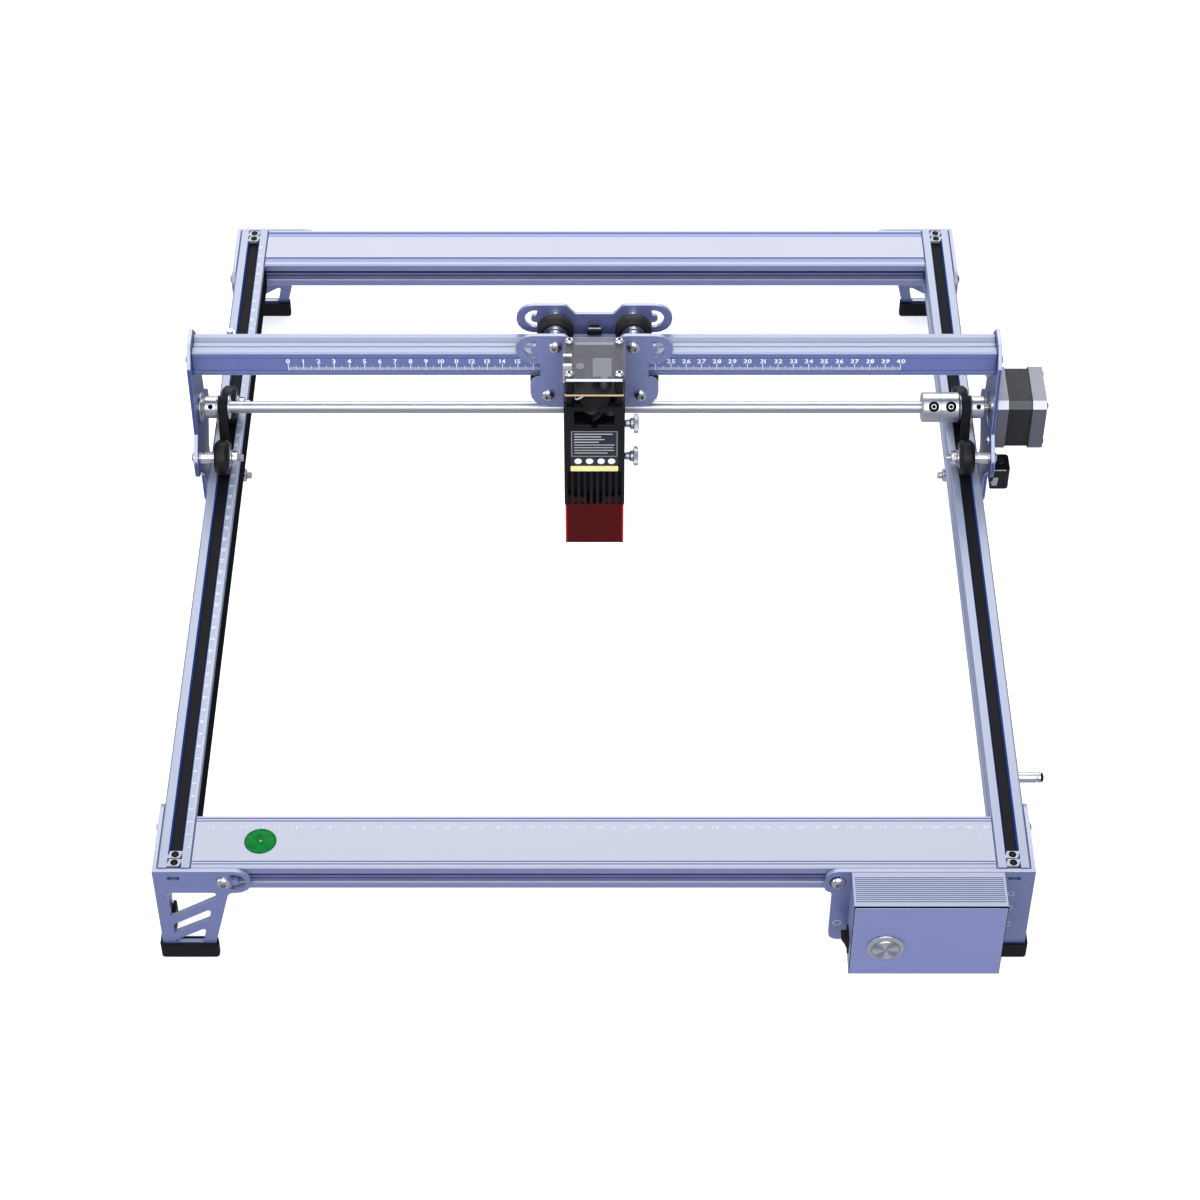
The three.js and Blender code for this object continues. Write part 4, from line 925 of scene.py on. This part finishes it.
# ---- control box: power button, rocker and their frames ----
low, high = node_box("button_bezel")
x, _, z = middle(low, high)
r = (high.x - low.x) / 2
cap_low, cap_high = node_box("power_button")
cap_r = (cap_high.x - cap_low.x) / 2
depth = high.y - low.y
bezel = [(cap_r + 0.25, 0), (r - 2.6, 0), (r - 1.9, 0.3), (r - 0.5, 0.7), (r, 1.2), (r, 1.5), (9.3, 1.5),
         (9.3, depth), (cap_r + 0.25, depth)]
piece("button_ring", Shape().turned(bezel, "y", (x, low.y, z), 72), CHROME, "frame", ("button_bezel",), 0.08)
deep = cap_high.y - cap_low.y
cap = [(0, 0.35), (cap_r - 2.6, 0.3), (cap_r - 2.2, 0.15), (cap_r - 1.6, 0.15), (cap_r - 1.4, 0), (cap_r - 0.4, 0.05),
       (cap_r, 0.5), (cap_r, deep), (0, deep)]
piece("button_cap", Shape().turned(cap, "y", (x, cap_low.y, z), 72), brushed_disc("brushed_cap", x, z), "button",
      ("power_button",))
shell_low, shell_high = node_box("control_box_shell")
cover_low, cover_high = node_box("control_box_cover")
# A near-black band round the cover: the gasket between cover and shell, with painted shadow in the gap.
gasket = Shape()
x0, x1, z0, z1 = shell_low.x + 0.05, shell_high.x - 0.05, shell_low.z + 0.05, shell_high.z - 0.05
y0, y1 = cover_low.y + 0.35, shell_low.y - 0.03
for a0, a1, b0, b1 in ((x0, cover_low.x, z0, z1), (cover_high.x, x1, z0, z1),
                       (cover_low.x, cover_high.x, z0, cover_low.z), (cover_low.x, cover_high.x, cover_high.z, z1)):
    gasket.box(a0, a1, y0, y1, b0, b1)
piece("control_box_gasket", gasket, BLACK_SHADOW, "frame")
_, rocker_y, rocker_z = middle(*node_box("rocker_switch"))
left, rim = shell_low.x, Shape()
for y0, y1, z0, z1 in ((-6, -4.7, -6.4, 6.4), (4.7, 6, -6.4, 6.4), (-4.8, 4.8, 5.0, 6.4), (-4.8, 4.8, -6.4, -5.0)):
    rim.box(left - 0.9, left, rocker_y + y0, rocker_y + y1, rocker_z + z0, rocker_z + z1)
piece("rocker_frame", rim, PLASTIC, "frame", (), 0.15)

# ---- laser module ----
low, high = node_box("laser_housing")
laser_half, laser_front, laser_top = high.x, low.y, high.z
laser_y = middle(low, high)[1]
cover_top, board_low = node_box("laser_top_cover")[1].z, node_box("laser_circuit_board")[0]
POST = 16
posts = [(sx * POST, laser_y + 1 + sy * POST) for sx in (-1, 1) for sy in (-1, 1)]
plate_z, plate_top = cover_top - 4.4, cover_top - 2.0
board_z = board_low.z + 8.0
board_top = board_z + 1.6
half, cover_y = 20, laser_y + 0.5
outline = rectangle(-half, half, cover_y - half, cover_y + half, 2)
piece("cover_plate", Shape().prism(outline, "z", plate_z, plate_top), SMOKE, "laser",
      ("laser_top_cover",), 0.15)
rim = Shape().box(2 - half, half - 2, cover_y - half - 0.08, cover_y - half, plate_z + 0.1, plate_top - 0.1)
piece("cover_front_edge", rim, FROSTED, "laser")
heads, spacers, legs = Shape(), Shape(), Shape()
for px, py in posts:
    button_head(heads, "z", (px, py, plate_top), 3.1, 2.0, 1.2)
    spacers.rod(2.9, 0, plate_z - board_top, "z", (px, py, board_top), 32)
    legs.rod(2.7, 0, board_z - laser_top - 0.1, "z", (px, py, laser_top + 0.1), 32)
piece("cover_screws", heads, CHROME, "laser", (), 0.05)
piece("cover_spacers", spacers, BLACK_METAL, "laser", (), 0.2)
piece("board_spacers", legs, BLACK_METAL, "laser", (), 0.2)

edge_y = board_low.y
core = Shape().prism(rectangle(-19, 19, edge_y, edge_y + 37.6, 1), "z", board_z, board_top - 0.2)
piece("board_core", core, FIBRE, "laser", ("laser_circuit_board",), 0.1)
mask = Shape().prism(rectangle(-18.9, 18.9, edge_y + 0.1, edge_y + 37.5, 1), "z", board_top - 0.19, board_top)
piece("board_mask", mask, MASK, "laser")
parts, cans = Shape(), Shape()
for px, py, r, tall in ((-9.2, 331, 3.05, 7.6), (6.4, 319.5, 2.9, 8.2)):
    can = [(0, 0), (r, 0), (r, tall - 0.5), (r - 0.3, tall - 0.2), (0, tall - 0.2)]
    lid = [(0, tall - 0.3), (r - 0.35, tall - 0.3), (r - 0.4, tall), (0, tall)]
    cans.turned(can, "z", (px, py, board_top), 36)
    parts.turned(lid, "z", (px, py, board_top), 36)
parts.box(-1, 11, 322.6, 340.3, board_top + 5.7, board_top + 6.2)
piece("board_components", parts, PART, "laser", (), 0.1)
piece("board_capacitors", cans, CAN, "laser")
chips = Shape().box(-0.9, 10.9, 322.7, 340.2, board_top, board_top + 5.7)
for px, py, w, d, tall in ((-10, 342, 9, 6, 1.4), (15, 322, 3, 4, 1), (15, 330, 2, 3, 0.8), (-4, 346, 3, 1.6, 0.7),
                           (1, 346, 3, 1.6, 0.7), (-14, 316, 2.4, 1.4, 0.7), (12, 346, 2, 3, 0.9)):
    chips.box(px - w / 2, px + w / 2, py - d / 2, py + d / 2, board_top, board_top + tall)
piece("board_chips", chips, PLASTIC, "laser", (), 0.1)
# The plug's black body, darkened further as painted shadow inside the socket.
plug = Shape().box(-19.8, -14.6, 325.5, 332.6, board_top, plate_top - 0.3)
piece("board_socket", plug, BLACK_SHADOW, "laser", (), 0.3)
cheeks = Shape().box(-20, -14.4, 323.2, 325.4, board_top, plate_top + 0.35)
cheeks.box(-20, -14.4, 332.7, 334.9, board_top, plate_top + 0.35)
piece("board_socket_cheeks", cheeks, INK, "laser", (), 0.25)
lead = [(-6.4, 314, board_z - 0.1), (-7.6, 312.8, board_z - 0.8), (-9.6, 312.4, board_z - 2.0),
        (-11.4, 313, board_z - 3.2), (-12.4, 316, board_z - 4.6), (-12.6, 321, board_z - 5.6)]
smooth_lead = []
for i in range(len(lead) - 1):
    p0, p1, p2, p3 = (Vector(lead[max(min(i + k, len(lead) - 1), 0)]) for k in (-1, 0, 1, 2))
    for t in (0, 0.25, 0.5, 0.75):
        smooth_lead.append(0.5 * (2 * p1 + (p2 - p0) * t + (2 * p0 - 5 * p1 + 4 * p2 - p3) * t * t
                                  + (3 * p1 - p0 - 3 * p2 + p3) * t ** 3))
smooth_lead.append(Vector(lead[-1]))
piece("fan_lead", Shape().tube(smooth_lead, 0.6), WIRE, "laser")

# The fan: a domed hub and seven twisted blades, in a ring under the board.
low, high = node_box("fan_rotor")
BLADES, BLADE_ROOT, BLADE_TIP, BLADE_STEPS = 7, 7.8, 16.2, 8
fan_y, tall = middle(low, high)[1], high.z - low.z
hub = [(0, 0), (7.6, 0), (8.4, 0.8), (8.5, tall - 1.6), (7.9, tall - 0.6), (6.4, tall), (2, tall), (0, tall - 0.3)]
fan = Shape().turned(hub, "z", (0, fan_y, low.z), 48)
for blade in range(BLADES):
    rings = []
    for k in range(BLADE_STEPS + 1):
        r = BLADE_ROOT + (BLADE_TIP - BLADE_ROOT) * k / BLADE_STEPS
        swing = 2 * math.pi * blade / BLADES + 0.045 * (r - BLADE_ROOT)
        pitch = 0.95 - 0.035 * (r - BLADE_ROOT)
        section = []
        for along, thick in ((-1, 0.0), (-0.5, 0.55), (0.3, 0.5), (1, 0.0), (0.3, -0.35), (-0.5, -0.3)):
            run = along * (3.6 + 0.1 * (r - BLADE_ROOT))
            a = swing + run * math.cos(pitch) / r
            z = low.z + tall / 2 + run * math.sin(pitch) + thick
            section.append(fan.bm.verts.new((r * math.cos(a), fan_y + r * math.sin(a), z)))
        rings.append(section)
    fan.loop_faces(rings, False)
piece("fan_blades", fan, PLASTIC, "fan", ("fan_rotor",))
fan_ring = Shape().turned([(16.8, 0), (17.2, 0), (17.2, 3.2), (16.8, 3.2)], "z", (0, fan_y, laser_top - 3.4), 64)
piece("fan_ring", fan_ring, PLASTIC, "laser", (), 0.1)


def thumb_screw(name):
    """A threaded stem, a collar and a knurled disc."""
    _, y, z = middle(*node_box(name))
    screw, face = Shape(), laser_half
    bolt_end(screw, "x", (face - 5.4, y, z), 2.3, 9)
    screw.turned([(0, 3.4), (2.8, 3.4), (3.7, 4.2), (3.7, 6.0), (0, 6.0)], "x", (face, y, z), 40)
    screw.rod(2.6, 1.0, 3.4, "x", (face, y, z), 32)
    outline, grooves = [], 44
    for i in range(grooves * 2):
        radius = 6.4 if i % 2 else 6.05
        angle = math.pi * i / grooves
        outline.append((y + radius * math.cos(angle), z + radius * math.sin(angle)))
    screw.prism(outline, "x", face + 6.3, face + 8.9)
    screw.turned([(0, 8.8), (5.4, 8.8), (5.1, 9.3), (0, 9.4)], "x", (face, y, z), 40)
    screw.turned([(0, 5.9), (5.4, 6.0), (5.6, 6.4), (0, 6.4)], "x", (face, y, z), 40)
    body = name.replace("_thumb", "")
    piece(name + "_turned", screw, THUMB, body, (name,), 0.05)


thumb_screw("upper_thumb_screw")
thumb_screw("lower_thumb_screw")

# The shield's cut edges catch the light, and the fan's motor shows in the window.
low, high = node_box("laser_shield")
edges = Shape()
for x in (low.x + 0.05, high.x - 0.95):
    edges.box(x, x + 0.9, low.y - 0.12, low.y + 0.3, low.z + 1, high.z - 1)
piece("shield_edges", edges, RED_EDGE, "laser", (), 0.05)
side_view = [(0, 0.2), (9.9, 0.2), (10.3, 0.7), (10.3, 6.9), (0, 6.9)]
motor_hub = Shape().turned(side_view, "z", (0, laser_y - 5, 71.8), 64)
piece("fan_motor_hub", motor_hub, HUB, "laser", (), 0.1)

# The label in front: a dark plate with a pale border, plain bars in place of words, and a yellow strip.
LABEL_HALF, FRAME_HALF = 15.5, 14.8
face = laser_front
label = Shape().prism(rectangle(-LABEL_HALF, LABEL_HALF, 32.2, 62.8, 1.4), "y", face - 0.12, face + 0.1)
piece("label_plate", label, MASK, "laser")
border = Shape()
for x0, x1, z0, z1 in ((-FRAME_HALF, FRAME_HALF, 61.9, 62.15), (-FRAME_HALF, FRAME_HALF, 40.2, 40.45),
                       (-FRAME_HALF, -14.55, 40.3, 62), (14.55, FRAME_HALF, 40.3, 62)):
    border.box(x0, x1, face - 0.2, face - 0.1, z0, z1)
BAR_LEFT, TOP_BAR, BAR_STEP = -13, 59.4, 2.35
for k, end in enumerate((11.8, 4.5, 6.5, 3.0, 13, 12.2, 12.8, 8.6)):
    z = TOP_BAR - BAR_STEP * k
    border.box(BAR_LEFT, end, face - 0.2, face - 0.1, z, z + (0.8 if k < 4 else 0.6))
piece("label_lines", border, GREY_INK, "laser")
marks = Shape()
for x in (-10.6, -3.2, 4.4, 11.2):
    marks.rod(2.4, 0, 0.1, "-y", (x, face - 0.1, 35.9), 32)
piece("label_marks", marks, INK, "laser")
strip = Shape().prism(rectangle(-LABEL_HALF, LABEL_HALF, 27, 31.6, 0.6), "y", face - 0.15, face + 0.1)
piece("label_strip", strip, YELLOW, "laser")

# ---- scales: numbers and ticks as thin raised ink ----
def glyph(character):
    """A digit's outline as flat points and faces, and its width."""
    curve = bpy.data.curves.new("glyph", "FONT")
    curve.body = character
    curve.size = 1
    curve.offset = 0.022
    curve.resolution_u = 3
    obj = bpy.data.objects.new("glyph", curve)
    bpy.context.scene.collection.objects.link(obj)
    mesh = bpy.data.meshes.new_from_object(obj.evaluated_get(bpy.context.evaluated_depsgraph_get()))
    vertices = [v.co.copy() for v in mesh.vertices]
    faces = [list(p.vertices) for p in mesh.polygons]
    bpy.data.objects.remove(obj)
    bpy.data.curves.remove(curve)
    bpy.data.meshes.remove(mesh)
    low, high = min(v.x for v in vertices), max(v.x for v in vertices)
    return [(v.x - low, v.y) for v in vertices], faces, high - low


GLYPHS = {c: glyph(c) for c in "0123456789"}
INK_LIFT, DIGIT_GAP = 0.06, 0.13


def write(shape, text, size, origin, right, up, bold=1.0):
    """Digits, centred on origin at their foot, raised by a hair."""
    right, up = Vector(right), Vector(up)
    foot = Vector(origin) + right.cross(up) * INK_LIFT
    total = sum(GLYPHS[c][2] for c in text) * bold + DIGIT_GAP * (len(text) - 1)
    at = -total / 2
    for c in text:
        points, faces, width = GLYPHS[c]
        made = [shape.bm.verts.new(foot + (right * (at + a * bold) + up * b) * size) for a, b in points]
        for face in faces:
            shape.bm.faces.new([made[i] for i in face])
        at += width * bold + DIGIT_GAP


def tick(shape, origin, along, up, length, width=0.25):
    """A thin bar from origin along up."""
    along, up = Vector(along) * width / 2, Vector(up) * length
    lift = along.cross(up).normalized() * INK_LIFT
    corners = [Vector(origin) + lift + c for c in (-along, along, along + up, up - along)]
    shape.bm.faces.new([shape.bm.verts.new(c) for c in corners])


panel_top = node_box("front_panel")[1].z
X, Y, Z = (1, 0, 0), (0, 1, 0), (0, 0, 1)
PANEL_CM, PANEL_START, PANEL_FOOT = 47, -237, 29.6
scale = Shape()
for k in range(1, PANEL_CM + 1):
    x = PANEL_START + 10 * k
    if k < PANEL_CM:
        tick(scale, (x - 2.3, PANEL_FOOT, panel_top), X, Y, 2.6, 0.3)
    write(scale, str(k), 3.0, (x + 0.3, PANEL_FOOT, panel_top), X, Y)
    tick(scale, (x + 3.0, PANEL_FOOT + 1.4, panel_top), X, Y, 1.2, 0.3)
piece("front_scale", scale, FAINT_INK, "frame")

# The beam's scale stands in the sunk band of its front.
BEAM_MM, TICK_FOOT, DIGIT_FOOT = 400, 71.9, 77.9
digits, ticks = Shape(), Shape()
face = beam_low.y + 0.4
for k in range(BEAM_MM + 1):
    x = k - BEAM_MM // 2
    if k % 10 == 0:
        tick(digits, (x, face - 0.02, TICK_FOOT), X, Z, 5.6, 0.45)
        write(digits, str(k // 10), 4.9, (x, face, DIGIT_FOOT), X, Z, 1.05)
    elif k % 5 == 0:
        tick(digits, (x, face - 0.02, TICK_FOOT), X, Z, 3.7, 0.36)
    else:
        tick(ticks, (x, face, TICK_FOOT), X, Z, 2.6, 0.42)
piece("beam_scale", digits, INK, "gantry")
piece("beam_scale_ticks", ticks, TICK_INK, "gantry")

RAIL_START, RAIL_MM = 15, 564
scale = Shape()
inner_x = node_box("left_rail")[1].x
for k in range(1, RAIL_MM // 10 + 1):
    write(scale, str(k), 3.0, (inner_x - 5.0, RAIL_START + 10 * k, 0), (0, -1, 0), X)
for k in range(RAIL_MM + 1):
    tall = 2.2 if k % 10 == 0 else 1.5 if k % 5 == 0 else 1.0
    tick(scale, (inner_x - 1.1, RAIL_START + k, 0), Y, (-1, 0, 0), tall, 0.22)
piece("left_rail_scale", scale, INK, "frame")

# Plain marks beside the switch and the sockets.
SQUARE_X = 249
marks = Shape()
front = front_y - 0.02
marks.ring(2.0, 2.5, 0, 0.08, "-y", (145.3, front, -48.7), 36)
for left, right, z0, z1 in ((-5.2, 0.2, -52.2, -51.8), (-5.2, 0.2, -47.8, -47.4), (-5.2, -4.8, -52, -47.6),
                            (-0.2, 0.2, -52, -47.6)):
    marks.box(SQUARE_X + left, SQUARE_X + right, front - 0.08, front, z0, z1)
for z in (-21, -34):
    marks.ring(1.6, 2.0, 0, 0.08, "-y", (247, front, z), 32)
piece("switch_and_socket_marks", marks, GREY_INK, "frame")

# The black strip, painted shadow over the slot in the left rail's inner side, and the rear panel's two sunk bands in
# painted groove shade.
strip = Shape().box(inner_x + 0.02, inner_x + 0.5, 41, 554, -18.6, -1.4)
for z in (-14.6, -10.2, -5.4):
    strip.box(inner_x + 0.4, inner_x + 0.8, 41.5, 553.5, z, z + 0.9)
piece("left_rail_slot_shadow", strip, BLACK_SHADOW, "frame", (), 0.15)
# Painted groove shade on the rear panel's sunk bands.
bands = Shape()
back_low, back_high = node_box("rear_panel")
for at in (3, 31.5):
    y = back_high.y - 40 + at
    bands.box(back_low.x + 0.1, back_high.x - 0.1, y + 0.05, y + 5.45, back_high.z - 0.68, back_high.z - 0.62)
piece("rear_panel_bands", bands, GROOVE_SHADE, "frame")

# Thin dark bars along the beam's front, painted as lines of shade.
lines = Shape()
for down in (2.4, 4.4, 15.6, 17.6):
    lines.box(beam_low.x + 3, beam_high.x - 3, beam_low.y - 0.03, beam_low.y + 0.1,
              beam_high.z - down - 0.3, beam_high.z - down)
piece("beam_front_lines", lines, GROOVE_SHADE, "gantry")

# The panels' front slots: two ribs in painted shade, with strips of painted shadow above and between them.
for name in ("front_panel", "rear_panel"):
    low, high = node_box(name)
    slot_z = middle(low, high)[2]
    ribs = Shape()
    for z0, z1 in ((-3.1, -0.9), (-0.1, 2.0)):
        ribs.box(low.x + 0.1, high.x - 0.1, low.y + 0.75, low.y + 1.3, slot_z + z0, slot_z + z1)
    shadow_strips = Shape().box(low.x + 0.1, high.x - 0.1, low.y + 1.35, low.y + 1.6, slot_z - 2.6, slot_z + 2.6)
    piece(name + "_slot_ribs", ribs, SLOT_SHADE, "frame", (), 0.05)
    piece(name + "_slot_shadow", shadow_strips, BLACK_SHADOW, "frame")

# ---- CAD nodes that stay: material, width of the soft edge, the worn and painted-highlight edge's material, names ----
CORNERS = "front_left", "front_right", "rear_left", "rear_right"
for material, bevel, edge, names in (
    (RAIL, 0.14, EDGE, ("left_rail", "right_rail")),
    (PANEL, 0, EDGE, ("front_panel", "rear_panel")),
    (BEAM, 0.1, EDGE, ("gantry_beam",)),
    (BRACKET, 0.32, EDGE, [corner + "_bracket" for corner in CORNERS]),
    (RUBBER, 0.6, None, [corner + "_foot" for corner in CORNERS]),
    (SIDE_PLATE, 0.35, EDGE, ("left_gantry_plate", "right_gantry_plate")),
    (CARRIER_PLATE, 0.35, EDGE, ("carriage_front_plate", "carriage_rear_plate")),
    (BOX, 0, EDGE, ("control_box_shell",)),
    (COVER, 0.3, EDGE, ("control_box_cover",)),
    (MASK, 0.15, None, ("main_board",)),
    (PLASTIC, 0.2, None, ("port_block",)),
    (PLASTIC, 0.5, None, ("rocker_switch",)),
    (BELT, 0.15, None, ("left_belt", "right_belt", "beam_belt")),
    (BLACK_METAL, 0.2, None, ("laser_mount_rail",)),
    (BLACK_METAL, 0.3, None, ("laser_housing", "lens_barrel")),
    (RED, 0.3, None, ("laser_shield",)),
):
    for name in names:
        keep(name, material, bevel, edge)


# ---- floor, light and camera ----
MIDDLE = Vector((ORIGIN.x, ORIGIN.y + 0.285, 0))
CAMERA_PLACE, CAMERA_TILT, LENS, SENSOR = (3.65, -1110.27, 1364.94), 44.25, 89.475, 36


def area_light(name, place, target, size, power):
    """A soft box, placed from the machine's middle, in metres and watts."""
    data = bpy.data.lights.new(name, "AREA")
    data.shape = "RECTANGLE"
    data.size, data.size_y = size
    data.energy = power
    obj = bpy.data.objects.new(name, data)
    obj.location = Vector(place) + MIDDLE
    obj.rotation_euler = (Vector(target) - Vector(place)).to_track_quat("-Z", "Y").to_euler()
    obj.visible_camera = False
    bpy.context.scene.collection.objects.link(obj)


floor_mesh = bpy.data.meshes.new("floor")
bm = bmesh.new()
bmesh.ops.create_grid(bm, x_segments=1, y_segments=1, size=9)
bm.to_mesh(floor_mesh)
bm.free()
floor = bpy.data.objects.new("floor", floor_mesh)
bpy.context.scene.collection.objects.link(floor)
floor_mesh.materials.append(dull("studio_floor", (0.86, 0.86, 0.87), 0.9, 60, 0.02, spread=0.02,
                                 Emission_Color=(1, 1, 1, 1), Emission_Strength=0.6))
floor.visible_glossy = False

area_light("softbox_above", (-0.25, 0, 2.4), (0, 0, 0), (1.4, 1.4), 12.5)
area_light("softbox_back", (0, 2.3, 2.1), (0, 0, 0.05), (3.2, 2.0), 53)
area_light("softbox_front", (0.1, -1.78, 1.8), (0, 0, 0.05), (2.4, 1.6), 31)
area_light("softbox_left", (-2.2, -0.6, 1.1), (0, 0, 0.05), (1.4, 1.6), 14)

world = bpy.data.worlds.new("studio")
world.use_nodes = True
background = world.node_tree.nodes["Background"]
background.inputs["Color"].default_value = (0.86, 0.9, 1, 1)
background.inputs["Strength"].default_value = 0.5
bpy.context.scene.world = world

camera_data = bpy.data.cameras.new("camera")
camera_data.lens = LENS
camera_data.sensor_width = SENSOR
camera = bpy.data.objects.new("camera", camera_data)
camera.location = Vector(CAMERA_PLACE) * MM + ORIGIN
camera.rotation_euler = (math.radians(CAMERA_TILT), 0, 0)
bpy.context.scene.collection.objects.link(camera)
bpy.context.scene.camera = camera
bpy.context.scene.view_settings.view_transform = "Standard"
bpy.context.scene.view_settings.look = "None"

bpy.context.view_layer.update()
